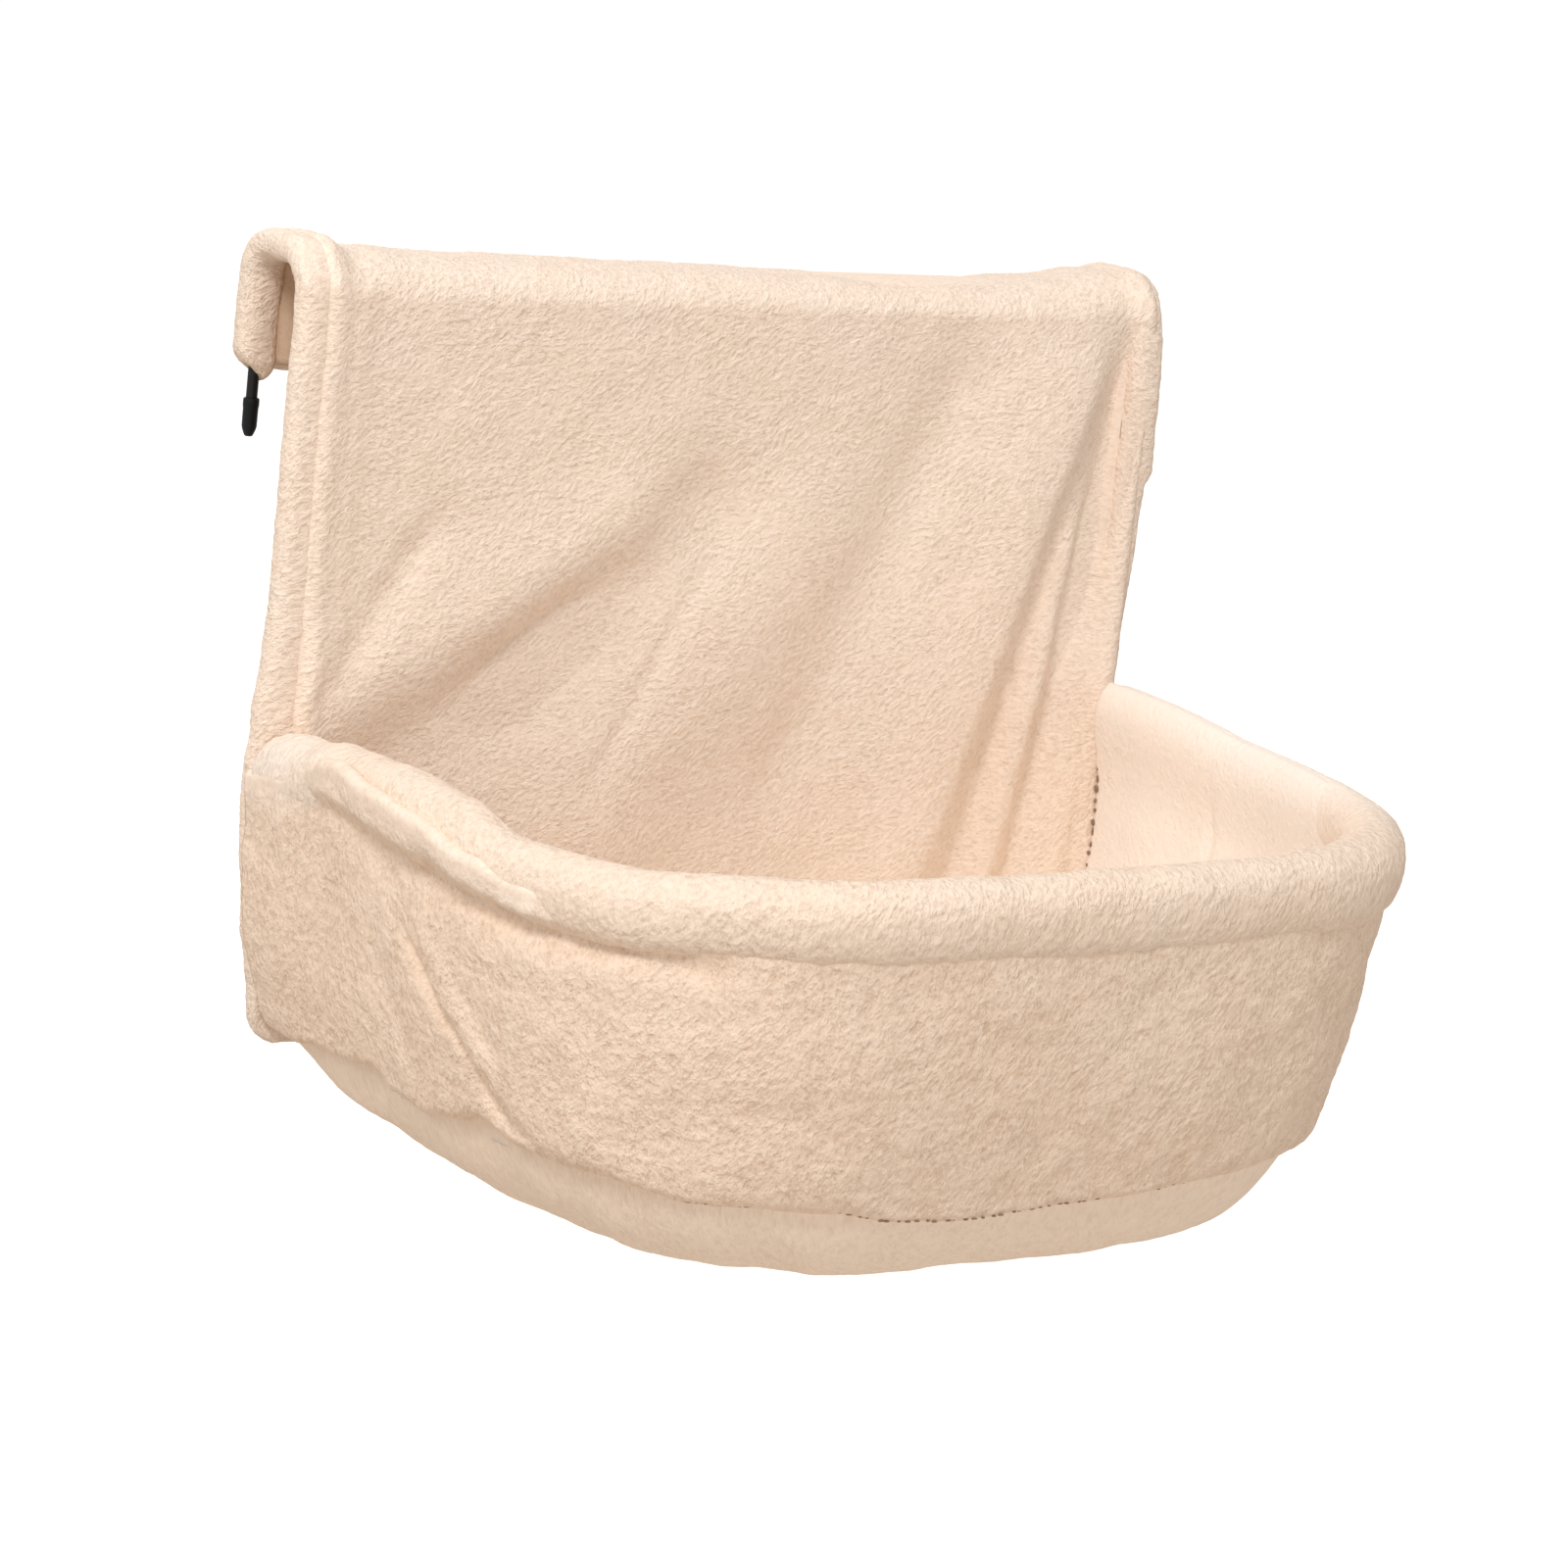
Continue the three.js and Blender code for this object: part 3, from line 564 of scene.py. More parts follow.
def fluffed(mesh, height, size, seed, lumps=1.0):
    """Raises the nap of a plush mesh in clumps, and stores the nap for its material."""
    cloth = stored(mesh, "cloth", 3)
    pile = stored(mesh, "pile", 1)
    normals = np.empty(len(mesh.vertices) * 3)
    mesh.vertex_normals.foreach_get("vector", normals)
    coarse = noise(cloth, COARSE_CLUMP_SHARE * size, seed + 20)
    nap = tufts(cloth, size, seed) + COARSE_RISE_SHARE * coarse
    slow = noise(cloth, SLOW_CLUMP_SHARE * size, seed + 30)
    lift = height * pile * (nap + lumps * slow)
    put(mesh, coordinates(mesh) + normals.reshape(-1, 3) * lift[:, None])
    attribute(mesh, "nap", np.clip(0.5 + 0.5 * nap, 0, 1))


def hook_line(run):
    """Side view of the hook at runs from its foot: y, z and the turn away from facing the room."""
    first = np.clip((run - FRONT_RUN) / BEND_RADIUS, 0, QUARTER)
    second = np.clip((run - BACK_RUN) / BEND_RADIUS + QUARTER, 0, QUARTER)
    turn = first + second
    slide = np.clip(run - FRONT_RUN - ARC_RUN, 0, 2 * FLAT_HALF)
    y = slide - FLAT_HALF - np.cos(turn) * BEND_RADIUS
    below = np.maximum(FRONT_RUN - run, 0) + np.maximum(run - BACK_RUN, 0)
    return y, ARC_Z + np.sin(turn) * BEND_RADIUS - below, turn


def off_hook(x, line, off):
    """Places that stand off the hook line, away from the radiator."""
    y, z, turn = line
    return spread(x, y - np.cos(turn) * off, z + np.sin(turn) * off)


def spaced(*stops):
    """Values from stop to stop. A stop is a value and the spacing that leads to it."""
    values = [stops[0][0]]
    for (start, _), (end, spacing) in zip(stops, stops[1:]):
        steps = max(1, round(abs(end - start) / spacing))
        values.extend(np.linspace(start, end, steps + 1)[1:])
    return np.array(values)


def cloth_round(outer_runs, inner_runs, outer, inner, edge_steps):
    """Rows round a cloth's section: runs along it, offsets and how far each row is an outer one."""
    middle, half = (outer + inner) / 2, (outer - inner) / 2
    angle = np.linspace(0, math.pi, edge_steps + 1)[1:-1]
    ends = outer_runs[-1], outer_runs[0]
    runs = np.concatenate([
        outer_runs, ends[0] + half * np.sin(angle), inner_runs, ends[1] - half * np.sin(angle),
        outer_runs[:1],
    ])
    offsets = np.concatenate([
        np.full(len(outer_runs), outer), middle + half * np.cos(angle),
        np.full(len(inner_runs), inner), middle - half * np.cos(angle), [outer],
    ])
    return runs, offsets, (offsets - inner) / (outer - inner)


class RimPlan:
    """The rim's middle line seen from above, by the distance along it from the left end."""

    def __init__(self):
        angle = np.linspace(0, math.pi, RIM_STEPS + 1)[1:-1]
        power = 2 / RIM_CURVE_SHARE
        x = -np.sign(np.cos(angle)) * np.abs(np.cos(angle)) ** power * ROD_X
        y = ROD_Y - np.sin(angle) ** power * BED_DEPTH
        outside = y < BASKET_REAR
        self.x = np.concatenate([[-ROD_X], x[outside], [ROD_X]])
        self.y = np.concatenate([[BASKET_REAR], y[outside], [BASKET_REAR]])
        steps = np.hypot(np.diff(self.x), np.diff(self.y))
        self.run = np.concatenate([[0], np.cumsum(steps)])
        self.length = self.run[-1]

    def at(self, run):
        """Places and outward directions at those runs, as two arrays of x and y."""
        reach = 2 * MM
        spots = self.spots(run)
        ahead = self.spots(np.minimum(run + reach, self.length)) - self.spots(np.maximum(run - reach, 0))
        ahead /= np.linalg.norm(ahead, axis=1)[:, None]
        return spots, spread(ahead[:, 1], -ahead[:, 0])

    def spots(self, run):
        return spread(np.interp(run, self.run, self.x), np.interp(run, self.run, self.y))


RIM = RimPlan()
RIGHT_CORNER = RIGHT_SWELL_SHARE * RIM.length


def rear_swell(run):
    """Share of the swelling of the basket's left rear end, where the cover is drawn round it."""
    return smooth(1 - run / REAR_REACH)


def right_swell(run):
    """Share of the swelling at the basket's right front corner."""
    return bell(run - RIGHT_CORNER, RIGHT_SWELL_REACH)


def arm_share(run):
    """0 along the front, and 1 where the basket's right arm runs back to the panel."""
    return smooth((run - ARM_START) / ARM_EASE)


def levels(run, table):
    """Heights in metres from a table of distances along the rim and heights, both in millimetres."""
    return along(run / MM, *table, (RIM.length / MM, table[-1][1])) * MM


def rim_lift(run):
    """How far the rim rises above its level: a hump at the left rear and a dip at the left front."""
    return levels(run, RIM_LIFTS)


def hem_lift(run):
    """How far the wall's hem rises above its level. It is drawn up at the left."""
    return levels(run, HEM_LIFTS) + waves(spread(run, 0, 0), HEM_WAVES)


def wall_top(run):
    """Level of the wall's upper edge. At the left rear it is drawn up over the roll."""
    return levels(run, WALL_TOPS)


def wall_offset(down, run):
    """The wall's outer face, measured outwards from the rim's middle line, at shares down it."""
    plain = WALL_OVERHANG - WALL_TAPER * down + WALL_BULGE * np.sin(np.clip(down, 0, 1) * math.pi)
    rear = along(down, *REAR_SWELLS) * rear_swell(run)
    upright = UPRIGHT * smooth((run - RIM.length) / UPRIGHT_REACH + 1) * smooth(down * 2)
    return plain + rear + RIGHT_SWELL * right_swell(run) + upright


def off_rim(run, off, z):
    """Places at a level that stand off the rim's middle line, and stay in front of the panel."""
    spots, out = RIM.at(run)
    x, y = (spots + out * off[:, None]).T
    return spread(x, np.minimum(y, BASKET_REAR), z)


def wall_ridge(run, z):
    """The fold where the wall's upper edge is drawn over the roll, and the dent below it."""
    line = levels(run, RIDGE_LINES)
    up = (z - line) / np.maximum(wall_top(run) - line, MM)
    proud = along(run / MM, *RIDGE_RISES) * smooth(up / RIDGE_EASE_SHARE)
    dent_width = np.where(z < line, DENT_BELOW, DENT_ABOVE)
    return MM * (proud - along(run / MM, *RIDGE_DENTS) * bell(z - line, dent_width))


class Shade:
    """A shader value that works in sums, and the way to every other node."""

    def __init__(self, tree, socket=None):
        self.tree = tree
        self.socket = socket

    def node(self, kind, settings, inputs, output=0):
        """Adds a node: its settings are set first, then the values or links of its sockets."""
        made = self.tree.nodes.new(kind)
        for name, value in settings.items():
            setattr(made, name, value)
        for key, value in inputs.items():
            if isinstance(value, Shade):
                self.tree.links.new(value.socket, made.inputs[key])
            else:
                made.inputs[key].default_value = value
        return Shade(self.tree, made.outputs[output])

    def math(self, operation, *values):
        return self.node("ShaderNodeMath", {"operation": operation}, dict(enumerate(values)))

    def __add__(self, other):
        return self.math("ADD", self, other)

    def __sub__(self, other):
        return self.math("SUBTRACT", self, other)

    def __rsub__(self, other):
        return self.math("SUBTRACT", other, self)

    def __mul__(self, other):
        return self.math("MULTIPLY", self, other)

    __radd__ = __add__
    __rmul__ = __mul__

    def mixed(self, low, high):
        """A colour between two, by this value."""
        inputs = {0: self, 6: low, 7: high}
        return self.node("ShaderNodeMix", {"data_type": "RGBA"}, inputs, output=2)

    def eased(self, low, high):
        """0 where this value is at low, 1 at high, and smooth between."""
        inputs = {"Value": self, "From Min": low, "From Max": high}
        return self.node("ShaderNodeMapRange", {"interpolation_type": "SMOOTHSTEP"}, inputs)


class Finish:
    """A material in the making, with its shader and the coordinates that its patterns follow."""

    def __init__(self, name):
        self.material = bpy.data.materials.new(name)
        self.material.use_nodes = True
        self.tree = self.material.node_tree
        self.shader = self.tree.nodes["Principled BSDF"]
        self.start = Shade(self.tree)

    def set(self, **values):
        """Sets or links sockets of the shader. Their names have _ for a space."""
        for name, value in values.items():
            socket = self.shader.inputs[name.replace("_", " ")]
            if isinstance(value, Shade):
                self.tree.links.new(value.socket, socket)
            else:
                socket.default_value = value

    def object_place(self):
        return self.start.node("ShaderNodeTexCoord", {}, {}, output="Object")

    def stored(self, name, output):
        return self.start.node("ShaderNodeAttribute", {"attribute_name": name}, {}, output=output)

    def mapped(self, place, stretch=(1, 1, 1), turn=0.0):
        """Stretches a pattern along its own axes and then turns it on the cloth."""
        inputs = {"Vector": place, "Scale": stretch, "Rotation": (0, 0, turn)}
        return self.start.node("ShaderNodeMapping", {"vector_type": "TEXTURE"}, inputs)

    def noise(self, place, scale, detail=2.0, warp=0.0):
        inputs = {"Vector": place, "Scale": scale, "Detail": detail, "Distortion": warp}
        return self.start.node("ShaderNodeTexNoise", {}, inputs)

    def bumped(self, height, distance, strength):
        inputs = {"Height": height, "Distance": distance, "Strength": strength}
        self.set(Normal=self.start.node("ShaderNodeBump", {}, inputs))


def linear(colour):
    """A screen colour from 0 to 255 as the shader's own numbers."""
    shares = [c / 255 for c in colour]
    return [s / 12.92 if s <= 0.04045 else ((s + 0.055) / 1.055) ** 2.4 for s in shares]


def toned(colour, factor, warmth=0.0):
    """A colour made lighter or darker, with less green and still less blue where it is warmed."""
    return [c * (factor - warmth * i) for i, c in enumerate(colour[:3])] + [1]


def grains(finish, place, size, lay):
    """Ripples of nap a size wide, with the lay here and across it there, from 0 to 1."""
    lean = finish.noise(place, 1 / (LAY_REACH_SHARE * size), detail=1.0).eased(0.42, 0.58)
    level, rising = (
        finish.noise(finish.mapped(place, GRAIN_STRETCH, lay + turn), 1 / size, detail=2.5, warp=0.1)
        for turn in GRAIN_TURNS
    )
    return rising * lean + level * (1 - lean)


def plush_finish(name, colour, nap_size, relief, shade_contrast, pale_and_painted_highlight=None, lay=0.0):
    """Long-piled fleece whose clumps have lighter tips and darker, warmer partings: painted light and
    painted shade between the clumps. It turns to a second, paler colour where the cloth says so, for the
    lining's own colour and for painted highlights."""
    finish = Finish(name)
    place = finish.stored("cloth", "Vector")
    nap = finish.stored("nap", "Fac")
    pile = finish.stored("pile", "Fac")
    ripples = grains(finish, place, nap_size, lay)
    hairs = finish.noise(finish.mapped(place, (1.8, 1, 1), lay + 0.5), 2.6 / nap_size, detail=2.0)
    patches = finish.noise(place, scale=18, detail=2.0)
    tips = nap * 0.20 + ripples * 0.50 + hairs * 0.30
    # Painted shade and light: the partings get a darker, warmer copy of the colour and the tips a
    # lighter one, standing in for the shade that falls between the clumps
    shade = toned(colour, 1 - shade_contrast, 0.35 * shade_contrast)
    light = toned(colour, 1 + 0.3 * shade_contrast)
    nap_with_painted_shade = tips.eased(0.3, 0.6).mixed(shade, light)
    if pale_and_painted_highlight:
        pale_nap = tips.eased(0.3, 0.7).mixed(toned(pale_and_painted_highlight, 1 - shade_contrast / 4), toned(pale_and_painted_highlight, 1))
        nap_with_painted_shade = finish.stored("pale_and_painted_highlight", "Fac").mixed(nap_with_painted_shade, pale_nap)
    tint = patches.eased(0.3, 0.7).mixed((1, 0.985, 0.97, 1), WHITE)
    inputs = {0: 1.0, 6: nap_with_painted_shade, 7: tint}
    settings = {"data_type": "RGBA", "blend_type": "MULTIPLY"}
    finish.set(
        Base_Color=finish.start.node("ShaderNodeMix", settings, inputs, output=2),
        Roughness=0.95, Specular_IOR_Level=0.08, Sheen_Weight=0.06, Sheen_Roughness=0.5,
        Sheen_Tint=(1, 0.9, 0.8, 1),
    )
    finish.bumped((ripples * 0.8 + hairs * 0.2) * (pile * 0.8 + 0.2), distance=relief, strength=1.0)
    return finish.material


def painted_wire_finish(name, colour):
    finish = Finish(name)
    place = finish.object_place()
    speckle = finish.noise(place, scale=900, detail=2.0)
    scuffs = finish.noise(finish.mapped(place, (1, 1, 6)), scale=260, detail=3.0)
    finish.set(
        Base_Color=scuffs.eased(0.45, 0.8).mixed(toned(colour, 1), toned(colour, 1.8)),
        Roughness=0.42 + speckle * 0.25, Specular_IOR_Level=0.25,
    )
    finish.bumped(speckle, distance=0.00008, strength=0.4)
    return finish.material


def rubber_finish(name, colour):
    finish = Finish(name)
    place = finish.object_place()
    grain = finish.noise(place, scale=1400, detail=3.0)
    dust = finish.noise(place, scale=120, detail=2.0)
    finish.set(
        Base_Color=dust.eased(0.4, 0.75).mixed(toned(colour, 1), toned(colour, 2.2)),
        Roughness=0.5 + grain * 0.25, Specular_IOR_Level=0.2,
    )
    finish.bumped(grain, distance=0.00006, strength=0.5)
    return finish.material


def metal_finish(name, colour):
    finish = Finish(name)
    place = finish.object_place()
    brushing = finish.noise(finish.mapped(place, (12, 1, 1)), scale=1500, detail=2.0)
    wear = finish.noise(place, scale=200, detail=3.0)
    finish.set(
        Base_Color=wear.eased(0.35, 0.75).mixed(toned(colour, 1), toned(colour, 0.7)),
        Roughness=0.22 + brushing * 0.25, Metallic=1.0,
    )
    finish.bumped(brushing, distance=0.00003, strength=0.3)
    return finish.material


def woven_finish(name, colour, thread):
    """A plain weave of warp and weft, by the object's own coordinates."""
    finish = Finish(name)
    place = finish.object_place()
    warp_inputs = {"Vector": place, "Scale": TURN / thread / 20, "Distortion": 0.4}
    warp = finish.start.node("ShaderNodeTexWave", {"bands_direction": "X"}, warp_inputs, output="Fac")
    weft = finish.start.node("ShaderNodeTexWave", {"bands_direction": "Y"}, warp_inputs, output="Fac")
    weave = warp * 0.5 + weft * 0.5
    fade = finish.noise(place, scale=60, detail=2.0)
    finish.set(
        Base_Color=(weave * 0.8 + fade * 0.2).mixed(toned(colour, 0.75), toned(colour, 1.1)),
        Roughness=0.75, Sheen_Weight=0.15,
    )
    finish.bumped(weave, distance=0.00015, strength=0.6)
    return finish.material


def thread_finish(name, colour):
    finish = Finish(name)
    place = finish.object_place()
    twist = finish.noise(finish.mapped(place, (2, 1, 1), 0.7), scale=2200, detail=1.0)
    finish.set(
        Base_Color=twist.eased(0.3, 0.7).mixed(toned(colour, 0.8), toned(colour, 1.15)),
        Roughness=0.7, Sheen_Weight=0.2,
    )
    finish.bumped(twist, distance=0.0001, strength=0.5)
    return finish.material


def colour_property(name, description, colour):
    return FloatVectorProperty(
        name=name, description=description, default=linear(colour), size=3,
        min=0, max=1, subtype="COLOR",
    )


def length_property(name, description, usual, low, high):
    """A length whose usual value and ends are given in millimetres."""
    return FloatProperty(
        name=name, description=description, default=usual * MM, min=low * MM, max=high * MM,
        unit="LENGTH",
    )


class BedSizes(bpy.types.PropertyGroup):
    """Sizes that a user would change."""

    spacing: length_property(
        "Spacing", "Distance between the points of the plush meshes", 1.35, 0.5, 10,
    )
    nap: length_property("Nap", "Height of the plush clumps above the cloth", 0.65, 0, 4)
    clump: length_property("Clump", "Width of a clump of the plush", 2.6, 1, 20)
    fold_height: length_property("Fold height", "Height of the panel's main folds", 8.5, 0, 15)
    fold_width: length_property("Fold width", "Usual half width of a fold", 16, 4, 60)
    crease: length_property("Crease", "Depth of the creases in the basket's wall", 5.5, 0, 10)
    tooth_pitch: length_property(
        "Tooth pitch", "Distance from one zip tooth to the next on its side", 2.6, 1, 6,
    )


class BedColours(bpy.types.PropertyGroup):
    """Colours that a user would change."""

    panel: colour_property("Panel", "Colour of the plush on the panel and its channels", (248, 230, 214))
    # The roll's and wall's plush is the panel's fabric, made a little darker and warmer as painted shade
    basket: colour_property("Basket", "Colour of the plush on the roll and the wall", (245, 223, 203))
    lining: colour_property("Lining", "Colour of the fleece inside the basket", (250, 239, 228))
    # The cloth on the radiator is darker partly for its own colour and partly as painted shade, for the
    # shaded gap between the flap and the panel
    back: colour_property("Back", "Colour of the cloth that lies on the radiator", (216, 190, 166))
    # The cloth under the basket is made lighter than the plush as painted light, against the shade under
    # the wall's overhang
    base: colour_property("Base", "Colour of the cloth under the basket", (255, 236, 218))
    wire: colour_property("Wire", "Colour of the painted wire", (6, 7, 8))
    cap: colour_property("Cap", "Colour of the rubber caps", (5, 6, 7))
    metal: colour_property("Metal", "Colour of the plated metal", (176, 178, 180))
    tape: colour_property("Tape", "Colour of the zip's tape", (222, 198, 176))
    thread: colour_property("Thread", "Colour of the sewing thread", (142, 111, 82))
    stage: colour_property("Stage", "Colour of the floor", (205, 196, 186))


def material(name):
    """Makes a material when it is first asked for."""
    found = bpy.data.materials.get(name)
    if found:
        return found
    colours = bpy.context.scene.bed_colours
    makers = {
        "panel_plush": lambda: plush_finish(name, colours.panel, 2.0 * MM, 1.8 * MM, 0.13),
        "basket_plush_painted_shade": lambda: plush_finish(
            name, colours.basket, 2.1 * MM, 2.0 * MM, 0.16, colours.lining, 0.9,
        ),
        "smooth_fleece": lambda: plush_finish(name, colours.lining, 2.6 * MM, 0.8 * MM, 0.04),
        "base_fleece_painted_light": lambda: plush_finish(name, colours.base, 2.4 * MM, 1.5 * MM, 0.08),
        "brushed_back_painted_shade": lambda: plush_finish(name, colours.back, 2.4 * MM, 0.6 * MM, 0.06),
        "black_wire": lambda: painted_wire_finish(name, colours.wire),
        "black_rubber": lambda: rubber_finish(name, colours.cap),
        "plated_metal": lambda: metal_finish(name, colours.metal),
        "zip_weave": lambda: woven_finish(name, colours.tape, 0.5 * MM),
        "sewing_thread": lambda: thread_finish(name, colours.thread),
    }
    return makers[name]()


class BedOperator:
    """What all the operators share."""

    bl_options = {"REGISTER", "UNDO"}

    def execute(self, context):
        self.build(context.scene.bed_sizes)
        return {"FINISHED"}


class CATBED_OT_panel(BedOperator, bpy.types.Operator):
    """Makes the plush of the hanging panel, the saddle and the flap"""

    bl_idname = "catbed.panel"
    bl_label = "Panel"

    def build(self, sizes):
        gap = 1.09 * sizes.spacing
        inner = LINING_THICKNESS + TOUCH_GAP - CHANNEL_THICKNESS / 2
        foot = CHANNEL_WIDTH / 2 + PANEL_FOOT
        end = HOOK_RUN - (PANEL_OUTER - inner) / 2
        outer_runs = spaced(
            (foot, 0), (FRONT_RUN - PANEL_SEEN, 2 * gap), (BACK_RUN, gap), (end, 1.3 * gap),
        )
        inner_runs = spaced((end, 0), (BACK_RUN, 12 * MM), (FRONT_RUN, 3 * MM), (foot, 12 * MM))
        runs, offsets, face = cloth_round(outer_runs, inner_runs, PANEL_OUTER, inner, EDGE_STEPS)
        width = 2 * PANEL_HALF + LEFT_OVERLAP + RIGHT_OVERLAP
        columns = round(width / gap)

        def place(column, row):
            across = column / columns
            run, outness = runs[row], face[row]
            line = hook_line(run)
            x = width * across - PANEL_HALF - LEFT_OVERLAP
            off = offsets[row] + outness * panel_lift(sizes, x, *line[1:])
            tuck = smooth((np.abs(x) - PANEL_HALF + 4 * MM) / (3 * MM))
            off = off + (1 - outness) * PANEL_TUCK * tuck
            pile = (0.35 + 0.65 * smooth(panel_edge(x) / (4 * MM))) * smooth(outness)
            return off_hook(x, line, off), spread(x, run, 0), pile

        mesh = cloth_grid("panel_cover", columns, len(runs) - 1, place)
        fluffed(mesh, sizes.nap, sizes.clump, 1)
        panel = piece("panel_cover", mesh, material("panel_plush"))
        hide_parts("panel_plush")
        flat = (width, HOOK_RUN - foot)


def panel_edge(x):
    """How far a place lies inside the nearer side edge of the panel's plush."""
    return PANEL_HALF + np.where(x > 0, RIGHT_OVERLAP - x, LEFT_OVERLAP + x)


def panel_lift(sizes, x, z, turn):
    """Folds of the panel, its rise over the channels and the sag of the saddle, measured outwards."""
    width = 2 * ROD_X + CHANNEL_WIDTH
    drop = z / FOOT_Z
    lift = folded(
        (x + ROD_X + CHANNEL_WIDTH / 2) / width, drop, width, -FOOT_Z, PANEL_FOLD_SHARES,
        sizes.fold_height, sizes.fold_width,
    )
    front = smooth(1 - turn / QUARTER * 2)
    foot = smooth((1 - drop) / PANEL_EASE_SHARE)
    edge = panel_edge(x)
    sides = smooth(edge / (9 * MM))
    flat_right = np.where(x > 0, np.sin(turn), 0)
    rise = (PANEL_RISE - FLAT_RISE_LOSS * flat_right) * MM
    rise = rise * smooth((17 * MM - edge) / (12 * MM))
    rounding = PANEL_ROUNDING * (1 - np.sqrt(1 - (1 - np.clip(edge / (6 * MM), 0, 1)) ** 2))
    sag = along(x / MM, *SADDLE_SAGS) * MM
    lift = np.clip(lift, DEEPEST_FOLD, HIGHEST_FOLD)
    return lift * front * foot * sides + rise - rounding - sag * np.sin(turn)


class CATBED_OT_channels(BedOperator, bpy.types.Operator):
    """Makes the two cloth channels that are sewn round the hook rods"""

    bl_idname = "catbed.channels"
    bl_label = "Rod channels"

    def build(self, sizes):
        for side, word in ((-1, "left"), (1, "right")):
            self.channel(sizes, side, word)

    def channel(self, sizes, side, word):
        turn_way = HOOK_RUN - FOOT_BEND
        bend_way = FOOT_BEND * QUARTER
        inward = ROD_X - FOOT_BEND - TOUCH_GAP / 2
        total = turn_way + bend_way + inward
        gap = sizes.spacing
        ways = spaced((0, 0), (HEM_ROUNDING, 0.8 * gap), (turn_way, gap), (total, 2.5 * gap))
        rounds = round(CHANNEL_ROUND / gap)

        def place(column, row):
            way = ways[column]
            angle = TURN * row / rounds - math.pi
            centre, wide, thick, turn = self.route(side, way, turn_way)
            close = np.sqrt(1 - (1 - np.clip(way / HEM_ROUNDING, 0, 1)) ** 2)
            c, s = np.cos(angle), np.sin(angle)
            ferrule = smooth((FERRULE_REACH - np.abs(centre[:, 0])) / FERRULE_EASE)
            outside = self.outside(side, way, centre[:, 2])
            outside = np.maximum(outside, FERRULE_WIDE * ferrule)
            half_wide = np.where(c > 0, outside, CHANNEL_WIDTH / 2) * close
            thickness = self.thick_share(side, centre[:, 2], s, turn)
            cover = FERRULE_THICK / (CHANNEL_THICKNESS / 2) * ferrule * (s < 0)
            half_thick = CHANNEL_THICKNESS / 2 * close * np.maximum(thickness, cover)
            points = centre + wide * (half_wide * self.squarer(c))[:, None]
            points = points + thick * (half_thick * self.squarer(s))[:, None]
            points[:, 2] += (HEM_SLANT * c - HEM_SAG) * MM * smooth(1 - way / HEM_REACH)
            flat = spread(angle * CHANNEL_RADIUS * MM + side * ROD_X, HOOK_RUN - way, 0)
            return points, flat, np.clip(0.35 + close, 0, 1)

        mesh = cloth_grid(f"channel_cover_{word}", len(ways) - 1, rounds, place)
        fluffed(mesh, sizes.nap, sizes.clump, 2 + side)
        channel = piece(f"channel_cover_{word}", mesh, material("panel_plush"))
        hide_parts(f"rod_channel_{word}")

    def squarer(self, part):
        """A part of a circle's radius, moved towards the side of a square."""
        return np.sign(part) * np.abs(part) ** CHANNEL_CURVE

    def outside(self, side, way, level):
        """How far the channel reaches outwards from its rod."""
        reaches = LEFT_REACHES if side < 0 else RIGHT_REACHES
        return along(level, *reaches) * (1 + waves(spread(way, side, 0), CHANNEL_WAVE_SHARES))

    def thick_share(self, side, level, outness, turn):
        """The channel's thickness as a share of its usual one."""
        thickness = along(level, (FOOT_Z, FOOT_THICK_SHARE), (FOOT_Z + FOOT_EASE, 1))
        if side > 0:
            front = along(level, *RIGHT_FRONT_SHARES)
            thickness = np.where(outness > 0, thickness * front, thickness)
        behind = smooth(turn / QUARTER - 1)
        return thickness * (1 + FLAP_THICKER_SHARE * behind * (outness > 0))

    def route(self, side, way, turn_way):
        """The rod's centre line, and the directions of the channel's width and thickness."""
        run = np.maximum(HOOK_RUN - way, FOOT_BEND)
        y, z, turn = hook_line(run)
        bend = np.clip((way - turn_way) / FOOT_BEND, 0, QUARTER)
        past = np.maximum(way - turn_way - FOOT_BEND * QUARTER, 0)
        x = ROD_X - FOOT_BEND * (1 - np.cos(bend)) - past
        centre = spread(side * x, y, z - FOOT_BEND * np.sin(bend))
        wide = spread(side * np.cos(bend), 0, -np.sin(bend))
        thick = spread(0, -np.cos(turn), np.sin(turn))
        return centre, wide, thick, turn


